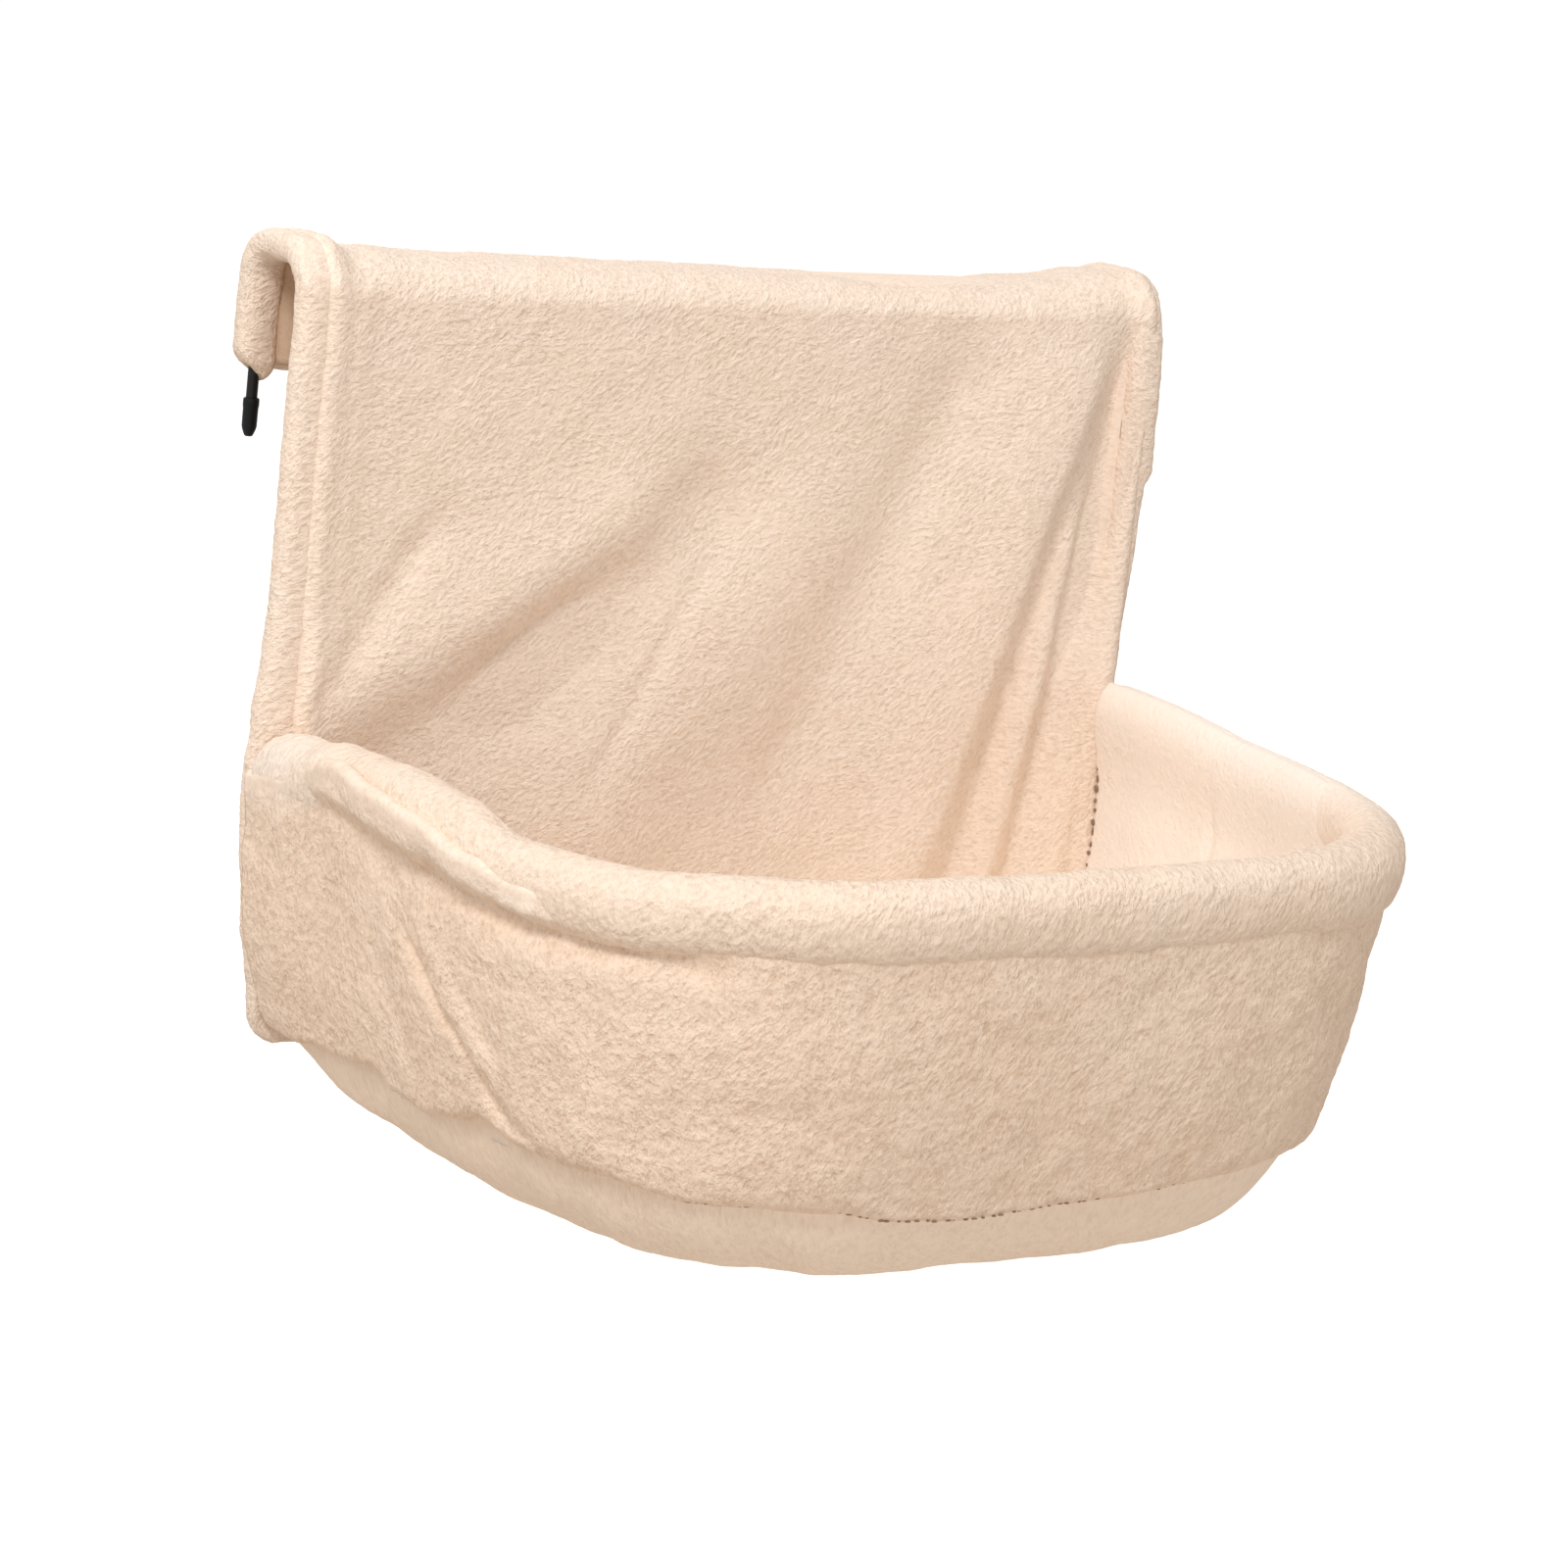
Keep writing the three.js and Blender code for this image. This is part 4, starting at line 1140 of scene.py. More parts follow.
class CATBED_OT_panel_lining(BedOperator, bpy.types.Operator):
    """Makes the smooth fleece on the side of the panel that meets the radiator"""

    bl_idname = "catbed.panel_lining"
    bl_label = "Panel lining"

    def build(self, sizes):
        spacing = 2.2 * sizes.spacing
        runs = spaced(
            (CHANNEL_WIDTH / 2, 0), (FRONT_RUN, spacing), (BACK_RUN, 1.5 * MM),
            (HOOK_RUN - 3 * MM, spacing),
        )
        columns = round(2 * PANEL_HALF / spacing)

        def place(column, row):
            x = (PANEL_HALF + LINING_OVERLAP) * (2 * column / columns - 1)
            run = runs[row]
            spots = spread(x, run, 0)
            wave = waves(spots, BACK_WAVES) * smooth((PANEL_HALF - np.abs(x)) / (20 * MM))
            tuck = LINING_TUCK * smooth((np.abs(x) - PANEL_HALF + 3 * MM) / (5 * MM))
            off = (LINING_THICKNESS - CHANNEL_THICKNESS) / 2 + wave + tuck
            return off_hook(x, hook_line(run), off), spots, np.ones_like(x)

        mesh = cloth_grid("panel_lining_cloth", columns, len(runs) - 1, place, fill=False)
        fluffed(mesh, 0.25 * sizes.nap, sizes.clump, 9, lumps=0.5)
        lining = piece("panel_lining_cloth", mesh, material("brushed_back_painted_shade"))
        thicken(lining, BACK_THICKNESS)
        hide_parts("panel_lining")


def thicken(cloth, thickness):
    """Gives a single layer of cloth its thickness, half on each side."""
    solid = cloth.modifiers.new("Thickness", "SOLIDIFY")
    solid.thickness = thickness
    solid.offset = 0
    solid.use_rim = True


class CATBED_OT_rim(BedOperator, bpy.types.Operator):
    """Makes the padded roll round the top of the basket"""

    bl_idname = "catbed.rim"
    bl_label = "Rim roll"

    def build(self, sizes):
        gap = 0.9 * sizes.spacing
        end = RIM_END
        runs = spaced((0, 0), (end, 0.5 * gap), (RIM.length - end, gap), (RIM.length, 0.5 * gap))
        rounds = round(TURN * RIM_RADIUS / gap)

        def place(column, row):
            run = runs[column]
            angle = TURN * row / rounds - QUARTER
            near = np.minimum(run, RIM.length - run)
            rounding = np.sqrt(1 - (1 - np.clip(near / end, 0, 1)) ** 2)
            close = ROLL_END_SHARE + ROLL_ROUNDED_SHARE * rounding
            reach, rise = self.section(run, angle, close)
            spots, out = RIM.at(run)
            x, y = (spots + out * reach[:, None]).T
            points = spread(x, y, RIM_Z + rim_lift(run) + rise)
            pile = np.clip(0.3 + close, 0, 1) * (1 - 0.5 * arm_share(run))
            return points, spread(run, angle * RIM_RADIUS, 50 * MM), pile

        mesh = cloth_grid("rim_roll", len(runs) - 1, rounds, place)
        fluffed(mesh, sizes.nap, sizes.clump, 4)
        run, way = stored(mesh, "cloth", 3)[:, :2].T
        inside = smooth(way / RIM_RADIUS - 0.5)
        # The roll takes a little of the paler colour all along, and the lining's colour on the inner
        # side of the right arm, where the lining wraps over it. On its left rear hump the paler colour
        # is a painted highlight.
        attribute(mesh, "pale_and_painted_highlight", 0.2 + 0.8 * arm_share(run) * inside + 0.4 * rear_swell(run))
        roll = piece("rim_roll", mesh, material("basket_plush_painted_shade"))
        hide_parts("rim_sleeve", "rim_wadding")

    def section(self, run, angle, close):
        """How far the roll's skin lies outwards from its middle line and above it. The roll hangs
        fuller on the lower outer side, and is thinner along the right arm."""
        size = self.size(run, angle) * close
        arm = arm_share(run)
        c, s = np.cos(angle), np.sin(angle)
        deeper = along(run / MM, *ROLL_FULL_SHARES)
        full = np.where((s < 0) & (c > 0), np.abs(c) ** ROLL_FULL_CURVE, c)
        reach = size * (c + (full - c) * smooth(deeper * 3 - 0.3))
        reach = reach * (1 - ARM_THINNER_SHARE * arm)
        reach += RIGHT_SWELL * right_swell(run) + ARM_OUT * arm
        return reach, size * s * (1 + np.where(s < 0, deeper, 0))

    def size(self, run, angle):
        """The roll's radius, which swells at its left rear and its right front."""
        spots = spread(run, np.cos(angle) * RIM_RADIUS, np.sin(angle) * RIM_RADIUS)
        size = 1 + waves(spots, ROLL_WAVE_SHARES) + ROLL_SWELL_SHARE * right_swell(run)
        size = RIM_RADIUS * size
        return size + ROLL_HUMP * smooth((ROLL_HUMP_END - run) / ROLL_HUMP_EASE)


class CATBED_OT_wall(BedOperator, bpy.types.Operator):
    """Makes the padded outer wall of the basket"""

    bl_idname = "catbed.wall"
    bl_label = "Basket wall"

    def build(self, sizes):
        gap = sizes.spacing
        height = WALL_TOP - HEM_Z
        columns = round(RIM.length / gap)
        outer_rows = spaced((0, 0), (height - WALL_ROUNDING, gap))
        inner_rows = spaced((height - WALL_ROUNDING, 0), (0, 14 * MM))
        downs, offsets, face = cloth_round(outer_rows, inner_rows, 0, -WALL_THICKNESS, EDGE_STEPS)

        def place(column, row):
            run = RIM.length * column / columns
            down = np.clip(downs[row] / height, -0.05, 1.05)
            lift = folded(
                run / RIM.length, down, RIM.length, height, WALL_FOLD_SHARES,
                sizes.crease, CREASE_WIDTH,
            )
            slack = waves(spread(run, downs[row], 0), WALL_WAVES)
            puff = face[row] * (lift + slack * smooth(down * 5)) * smooth((1 - down) * 14)
            top = wall_top(run)
            z = top - down * (top - HEM_Z - hem_lift(run))
            depth = (WALL_TOP - z) / (WALL_TOP - HEM_Z)
            off = wall_offset(depth, run) + offsets[row] + puff + wall_ridge(run, z)
            flat = spread(run, -downs[row], 100 * MM)
            return off_rim(run, off, z), flat, 0.15 + 0.85 * smooth(down * 16) * smooth(face[row])

        mesh = cloth_grid("wall_cover", columns, len(downs) - 1, place)
        fluffed(mesh, sizes.nap, sizes.clump, 6)
        cloth = stored(mesh, "cloth", 3)
        # Painted highlight: the wall's upper edge near the left rear is made paler, as if lit like the
        # roll's hump
        upper = smooth(1.4 + cloth[:, 1] / (13 * MM)) * smooth((250 * MM - cloth[:, 0]) / (50 * MM))
        attribute(mesh, "pale_and_painted_highlight", 0.3 * upper)
        wall = piece("wall_cover", mesh, material("basket_plush_painted_shade"))
        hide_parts("wall_plush", "wall_foam")


class CATBED_OT_wall_lining(BedOperator, bpy.types.Operator):
    """Makes the smooth fleece inside the basket's wall"""

    bl_idname = "catbed.wall_lining"
    bl_label = "Wall lining"

    def build(self, sizes):
        gap = 1.8 * sizes.spacing
        columns = round(RIM.length / gap)
        height = RIM_Z - (HEM_Z + 2 * MM)
        over = RIM_RADIUS * QUARTER
        rows = round((height + over) / gap)

        def place(column, row):
            run = RIM.length * column / columns
            way = row / rows * (height + over) - over
            share = np.clip(way, 0, height) / height
            curl = np.clip(-way / RIM_RADIUS, 0, QUARTER)
            arm = arm_share(run)
            crown = RIM_RADIUS + LINING_CLEARANCE - LINING_SINK * smooth(curl / QUARTER * 3 - 2)
            z = RIM_Z + rim_lift(run) * (1 - share) - share * height + np.sin(curl) * crown
            hang = self.hang(run, share, z)
            over_roll = LINING_OUT - LINING_CURL_SHARE * crown * np.cos(curl)
            over_roll = over_roll - (LINING_BACK_SHARE * arm - LINING_BACK_SHARE) * RIM_RADIUS
            lower = smooth(share / LINING_EASE_SHARE)
            under_roll = hang * lower + over_roll * (1 - lower)
            tucked = hang + np.sin(curl) * LINING_TURN
            off = np.where(way < 0, over_roll, under_roll) * arm + tucked * (1 - arm)
            z = np.where(way < 0, z - np.sin(curl) * (1 - arm) * crown * LINING_LOW_SHARE, z)
            return off_rim(run, off, z), spread(run, z, 150 * MM), np.full_like(run, 0.45)

        mesh = cloth_grid("wall_lining_cloth", columns, rows, place, fill=False)
        fluffed(mesh, sizes.nap, sizes.clump, 7, lumps=0.6)
        attribute(mesh, "pale_and_painted_highlight", np.ones(len(mesh.vertices)))
        lining = piece("wall_lining_cloth", mesh, material("basket_plush_painted_shade"))
        thicken(lining, WALL_LINING_THICKNESS)
        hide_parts("wall_lining")

    def hang(self, run, share, z):
        """How far outwards the lining hangs against the wall, between its two side seams."""
        down = np.clip((WALL_TOP - z) / (WALL_TOP - HEM_Z), 0, 1)
        slack = waves(spread(run, z, 0), LINING_WAVES) * np.sin(share * math.pi)
        seams = bell(run - LINING_SEAM, LINING_SEAM_WIDTH)
        seams = seams + bell(RIM.length - run - LINING_SEAM, LINING_SEAM_WIDTH)
        plain = wall_offset(down, run) - WALL_THICKNESS - LINING_CLEARANCE
        return plain - slack + LINING_SEAM_DEPTH * seams


class CATBED_OT_base(BedOperator, bpy.types.Operator):
    """Makes the sagging cloth under the basket"""

    bl_idname = "catbed.base"
    bl_label = "Base"

    def build(self, sizes):
        gap = 1.8 * sizes.spacing
        plan, lift = self.outline(gap)
        middle = np.array([0, (BASE_BOX[0].y + BASE_BOX[1].y) / 2])
        rings = round(BASE_REACH / gap)
        bag_run = (BASKET_REAR - BASE_BOX[0].y) * FRONT_SHARE

        def place(column, row):
            share = (row / rings) ** RING_CURVE
            around = plan[column] - middle
            x, y = (middle + around * share[:, None]).T
            strip = ZIP_STRIP * smooth((ZIP_STRIP_HALF - np.abs(x)) / ZIP_STRIP_EASE)
            forward = np.clip((BASKET_REAR - y - strip) / (bag_run - strip), 0, 1)
            loose = smooth(forward / BASE_EASE_SHARE)
            spots = spread(x, y, 0)
            pucker_spots = spread(around[:, 0] / 4, around[:, 1] / 4, share * 0.01)
            pucker = waves(pucker_spots, PUCKER_WAVES) * share ** 3 * smooth((1 - share) * 12)
            slack = waves(spots, BASE_WAVES) * smooth((1 - share) * 5)
            rear_curve = np.clip(1 - 2 * forward, 0, 1) ** BAG_CURVE_SHARE
            bag = (1 - share ** BAG_CURVE_SHARE) * (1 - rear_curve)
            level = HEM_Z - BASE_DROP + lift[column] * share ** BASE_EDGE_CURVE
            z = level - (BAG_SAG + 0.5 * MM) * bag + (pucker + slack) * loose
            return spread(x, y, z + self.groove(x, y)), spots, loose

        mesh = cloth_grid("base_cover", len(plan) - 1, rings, place, fill=False)
        fluffed(mesh, 0.45 * sizes.nap, sizes.clump, 8)
        base = piece("base_cover", mesh, material("base_fleece_painted_light"))
        thicken(base, 2 * MM)
        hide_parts("base_cloth")
        flat = (2 * ROD_X - WALL_TAPER, BED_DEPTH)
        area = D_AREA_SHARE * flat[0] * flat[1]

    def outline(self, gap):
        """The base's edge seen from above, and how far each of its places is drawn up."""
        runs = np.linspace(0, RIM.length, round(RIM.length / gap))
        spots, out = RIM.at(runs)
        side = spots + out * (wall_offset(np.ones_like(runs), runs) - BASE_INSET)[:, None]
        side[:, 1] = np.minimum(side[:, 1], BASKET_REAR)
        back = spaced((side[-1, 0], 0), (side[0, 0], gap))[1:]
        side_lift = hem_lift(runs) + BASE_TUCK
        from_right, from_left = np.abs(back - side[-1, 0]), np.abs(back - side[0, 0])
        back_lift = side_lift[-1] * smooth(1 - from_right / BASE_CORNER)
        back_lift += side_lift[0] * smooth(1 - from_left / BASE_CORNER)
        plan = np.concatenate([side, spread(back, BASKET_REAR)])
        return plan, np.concatenate([side_lift, back_lift])

    def groove(self, x, y):
        """The hollow over the zip, which makes room for its teeth."""
        middle = (ZIP_BOX[0].y + ZIP_BOX[1].y) / 2
        groove = smooth((GROOVE_HALF_DEEP - np.abs(y - middle)) / (2 * MM))
        return GROOVE_DEPTH * groove * smooth((GROOVE_HALF_WIDE - np.abs(x)) / (3 * MM))


class CATBED_OT_floor(BedOperator, bpy.types.Operator):
    """Makes the cushion that lies in the basket"""

    bl_idname = "catbed.floor"
    bl_label = "Floor cushion"

    def build(self, sizes):
        gap = 1.7 * sizes.spacing
        low, high = FLOOR_BOX
        columns = round(FLOOR_DENSITY_SHARE * 2 * high.x / gap)
        rows = round(FLOOR_DENSITY_SHARE * (high.y - low.y) / gap)

        def upper(column, row):
            return self.face(1, 2 * column / columns - 1, 2 * row / rows - 1)

        def lower(column, row):
            return self.face(-1, 2 * column / columns - 1, 2 * row / rows - 1)

        mesh = cloth_grid("floor_cushion", columns, rows, upper, fill=False)
        under = cloth_grid("floor_cushion_under", columns, rows, lower, fill=False)
        joined(mesh, under)
        fluffed(mesh, 0.4 * sizes.nap, sizes.clump, 11)
        cushion = piece("floor_cushion", mesh, material("smooth_fleece"))
        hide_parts("floor_foam", "floor_lining")

    def face(self, sign, across, ahead):
        """The cushion's upper or lower face, at places from -1 to 1 across and along it."""
        low, high = FLOOR_BOX
        half_wide, reach = high.x, high.y - low.y
        thickness = high.z - HEM_Z - FLOOR_LIFT
        u, v = (np.sin(part * QUARTER * GRID_END_SHARE) for part in (across, ahead))
        out = (1 + v) / 2 * reach
        rear = np.where(u < 0, FLOOR_REAR_LEFT, FLOOR_REAR_RIGHT) * smooth(1 - out / REAR_REACH)
        wide = half_wide + FLOOR_WIDER + rear
        depth_share = out / (reach / FRONT_SHARE)
        x = u * wide * (1 - depth_share ** RIM_CURVE_SHARE) ** (1 / RIM_CURVE_SHARE)
        forward = np.clip((out - ZIP_STRIP) / (reach - ZIP_STRIP), 0, 1)
        sag = (1 - u ** BAG_CURVE_SHARE) * (1 - (2 * forward - 1) ** BAG_CURVE_SHARE)
        inside = (1 - u ** FLOOR_EDGE_CURVE) * (1 - v ** FLOOR_EDGE_CURVE)
        edge = np.clip(inside, 0, 1) ** 0.5
        spots = spread(x, high.y - out, sign)
        z = HEM_Z - BAG_SAG * sag + FLOOR_LIFT * (1 - sag) ** 2
        z = z + thickness / 2 * (1 + sign * edge)
        crown = FLOOR_CROWN * (1 - u ** 4) * (1 - v ** 4)
        z = z + (sign > 0) * (crown + waves(spots, FLOOR_WAVES) * edge)
        lean = 1 + (z - HEM_Z - BAG_SAG * 0.2) * FLOOR_LEAN_SHARE / half_wide * (1 - sag)
        return spread(x * lean, high.y - out, z), spots, edge


def joined(mesh, other):
    """Sews a second mesh onto the first along their common edge, and removes the second."""
    bm = bmesh.new()
    bm.from_mesh(mesh)
    bm.from_mesh(other)
    bmesh.ops.remove_doubles(bm, verts=bm.verts, dist=0.05 * MM)
    bmesh.ops.recalc_face_normals(bm, faces=bm.faces)
    bm.to_mesh(mesh)
    bm.free()
    bpy.data.meshes.remove(other)


def finished(name, bm, material_name, body="bed"):
    """Turns a bmesh into a piece."""
    bmesh.ops.remove_doubles(bm, verts=bm.verts, dist=MERGE_DISTANCE)
    bmesh.ops.recalc_face_normals(bm, faces=bm.faces)
    return piece(name, mesh_from(name, bm), material(material_name), body)


def turned(bm, profile, axis_place, axis, steps):
    """Spins a profile of points once round an axis."""
    verts = [bm.verts.new(point) for point in profile]
    edges = [bm.edges.new(pair) for pair in zip(verts, verts[1:])]
    bmesh.ops.spin(
        bm, geom=verts + edges, cent=axis_place, axis=axis, angle=TURN, steps=steps, use_merge=True,
    )


class CATBED_OT_frame(BedOperator, bpy.types.Operator):
    """Makes the smooth hook rods and finishes the hidden wire of the rim"""

    bl_idname = "catbed.frame"
    bl_label = "Wire frame"

    def build(self, sizes):
        for side, word in ((-1, "left"), (1, "right")):
            self.rod(side, word)
        for name in ("rim_hoop", "hoop_socket_left", "hoop_socket_right", "foot_ferrule"):
            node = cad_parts[name]
            kind = "plated_metal" if name == "foot_ferrule" else "black_wire"
            node.data.materials.clear()
            node.data.materials.append(material(kind))

    def rod(self, side, word):
        """Draws a circle along the hook: straight runs are extruded and bends are spun."""
        bm = bmesh.new()
        x = side * ROD_X
        tail = CAP_TOP - 8 * MM
        upright = Matrix.Translation((x, -ROD_Y, tail))
        made = bmesh.ops.create_circle(
            bm, cap_ends=True, segments=20, radius=ROD_DIAMETER / 2, matrix=upright,
        )
        ends = list({face for vert in made["verts"] for face in vert.link_faces})
        ends = self.straight(bm, ends, (0, 0, ARC_Z - tail))
        ends = self.bend(bm, ends, (x, FLAT_HALF, ARC_Z), (1, 0, 0), QUARTER)
        ends = self.straight(bm, ends, (0, -2 * FLAT_HALF, 0))
        ends = self.bend(bm, ends, (x, -FLAT_HALF, ARC_Z), (1, 0, 0), QUARTER)
        ends = self.straight(bm, ends, (0, 0, FOOT_Z + FOOT_BEND - ARC_Z))
        corner = (x - side * FOOT_BEND, ROD_Y, FOOT_Z + FOOT_BEND)
        ends = self.bend(bm, ends, corner, (0, side, 0), QUARTER)
        self.straight(bm, ends, (-side * (ROD_X - FOOT_BEND - TOUCH_GAP / 2), 0, 0))
        rod = finished(f"hook_wire_{word}", bm, "black_wire")
        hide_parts(f"hook_rod_{word}")

    def straight(self, bm, faces, move):
        grown = bmesh.ops.extrude_face_region(bm, geom=faces)
        bmesh.ops.delete(bm, geom=faces, context="FACES")
        verts = [item for item in grown["geom"] if isinstance(item, bmesh.types.BMVert)]
        bmesh.ops.translate(bm, verts=verts, vec=move)
        return [item for item in grown["geom"] if isinstance(item, bmesh.types.BMFace)]

    def bend(self, bm, faces, centre, axis, angle):
        made = bmesh.ops.spin(
            bm, geom=faces, cent=centre, axis=axis, angle=angle, steps=12, use_merge=False,
        )
        bmesh.ops.delete(bm, geom=faces, context="FACES")
        return [item for item in made["geom_last"] if isinstance(item, bmesh.types.BMFace)]


class CATBED_OT_caps(BedOperator, bpy.types.Operator):
    """Makes the rubber caps on the rod tips"""

    bl_idname = "catbed.caps"
    bl_label = "Caps"

    def build(self, sizes):
        for word in ("left", "right"):
            low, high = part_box(f"hook_cap_{word}")
            x, y = (low.x + high.x) / 2, (low.y + high.y) / 2
            radius = (high.x - low.x) / 2
            length = high.z - low.z
            bm = bmesh.new()
            profile = [(x + across * radius, y, low.z + up * length) for across, up in CAP_SHARES]
            turned(bm, profile, (x, y, 0), (0, 0, 1), 40)
            cap = finished(f"rubber_cap_{word}", bm, "black_rubber")
            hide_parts(f"hook_cap_{word}")


class CATBED_OT_zip(BedOperator, bpy.types.Operator):
    """Makes the zip under the rear edge of the base"""

    bl_idname = "catbed.zip"
    bl_label = "Zip"

    def build(self, sizes):
        self.tape("rear")
        self.tape("front")
        self.teeth("rear", sizes.tooth_pitch, 0)
        self.teeth("front", sizes.tooth_pitch, 0.5)
        self.stop("left")
        self.stop("right")
        self.slider()
        self.pull()

    def tape(self, word):
        low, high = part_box(f"zip_tape_{word}")
        size = high - low
        columns, rows = 160, 8
        middle_z = (low.z + high.z) / 2

        def place(column, row):
            x = low.x + size.x * column / columns
            y = low.y + size.y * row / rows
            spots = spread(x, y, 0)
            return spread(x, y, middle_z + waves(spots, TAPE_WAVES)), spots, np.ones_like(x)

        mesh = cloth_grid(f"zip_cloth_{word}", columns, rows, place, fill=False)
        tape = piece(f"zip_cloth_{word}", mesh, material("zip_weave"))
        thicken(tape, size.z)
        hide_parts(f"zip_tape_{word}")

    def teeth(self, word, pitch, phase):
        low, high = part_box(f"zip_chain_{word}")
        size = high - low
        centre = (low + high) / 2
        toward = -1 if word == "rear" else 1
        bm = bmesh.new()
        for i in range(int(size.x / pitch) - 1):
            x = low.x + pitch * (i + TOOTH_START_SHARE + phase)
            for out, wide, deep, thick in TOOTH_SHARES:
                place = Matrix.Translation((x, centre.y + toward * out * size.y, centre.z))
                scale = Matrix.Diagonal((wide * pitch, deep * size.y, thick * size.z, 1))
                bmesh.ops.create_cube(bm, size=1, matrix=place @ scale)
        mesh = mesh_from(f"zip_teeth_{word}", bm)
        teeth = piece(f"zip_teeth_{word}", mesh, material("plated_metal"))
        soften(teeth, 0.15 * MM, 1)
        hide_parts(f"zip_chain_{word}")

    def stop(self, word):
        low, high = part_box(f"zip_stop_{word}")
        bm = bmesh.new()
        boxed(bm, low, high)
        stop = finished(f"zip_end_stop_{word}", bm, "plated_metal")
        soften(stop, 0.5 * MM, 3)
        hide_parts(f"zip_stop_{word}")

    def slider(self):
        low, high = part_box("zip_slider")
        body_low = low.z + BAIL_DROP
        bm = bmesh.new()
        boxed(bm, Vector((low.x, low.y, high.z - SLIDER_PLATE)), high)
        boxed(bm, Vector((low.x, low.y, body_low)), Vector((high.x, high.y, body_low + SLIDER_PLATE)))
        x, y, _ = (low + high) / 2
        post(bm, (x, y), SLIDER_WEB, body_low, high.z)
        for sign in (-1, 1):
            leg = (x + sign * BAIL_STANCE, y)
            post(bm, leg, BAIL_LEG, low.z + BAIL_LEG_LIFT, body_low + SLIDER_PLATE / 2)
        post(bm, (x, y), BAIL_BAR, low.z, low.z + BAIL_ROUND)
        mesh = mesh_from("zip_slider_body", bm)
        slider = piece("zip_slider_body", mesh, material("plated_metal"), "slider")
        soften(slider, 0.3 * MM, 3)
        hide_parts("zip_slider")

    def pull(self):
        low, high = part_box("zip_pull")
        middle = (low + high) / 2
        half = (high.y - low.y) / 2
        eye_foot = high.z - PULL_EYE
        bm = bmesh.new()
        boxed(bm, Vector((low.x, low.y, low.z + half)), Vector((high.x, high.y, eye_foot)))
        for y in (low.y, high.y - PULL_ARM):
            boxed(bm, Vector((low.x, y, eye_foot)), Vector((high.x, y + PULL_ARM, high.z)))
        boxed(bm, Vector((low.x, low.y, high.z - PULL_ARM)), high)
        disc = Matrix.Translation((middle.x, middle.y, low.z + half)) @ Matrix.Rotation(QUARTER, 4, "Y")
        bmesh.ops.create_cone(
            bm, cap_ends=True, segments=32, radius1=half, radius2=half,
            depth=high.x - low.x, matrix=disc,
        )
        mesh = mesh_from("zip_pull_tab", bm)
        tab = piece("zip_pull_tab", mesh, material("plated_metal"), "pull")
        soften(tab, 0.25 * MM, 3)
        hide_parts("zip_pull")


def boxed(bm, low, high):
    """A box between two corners."""
    size = high - low
    place = Matrix.Translation((low + high) / 2) @ Matrix.Diagonal((*size, 1))
    bmesh.ops.create_cube(bm, size=1, matrix=place)


def post(bm, middle, half, low, high):
    """A box round an upright line, between two levels."""
    (x, y), (half_wide, half_deep) = middle, half
    corner = Vector((x + half_wide, y + half_deep, high))
    boxed(bm, Vector((x - half_wide, y - half_deep, low)), corner)


def soften(made, width, segments):
    """Rounds the edges of a hard piece."""
    bevel = made.modifiers.new("Edges", "BEVEL")
    bevel.width = width
    bevel.segments = segments
    bevel.limit_method = "ANGLE"


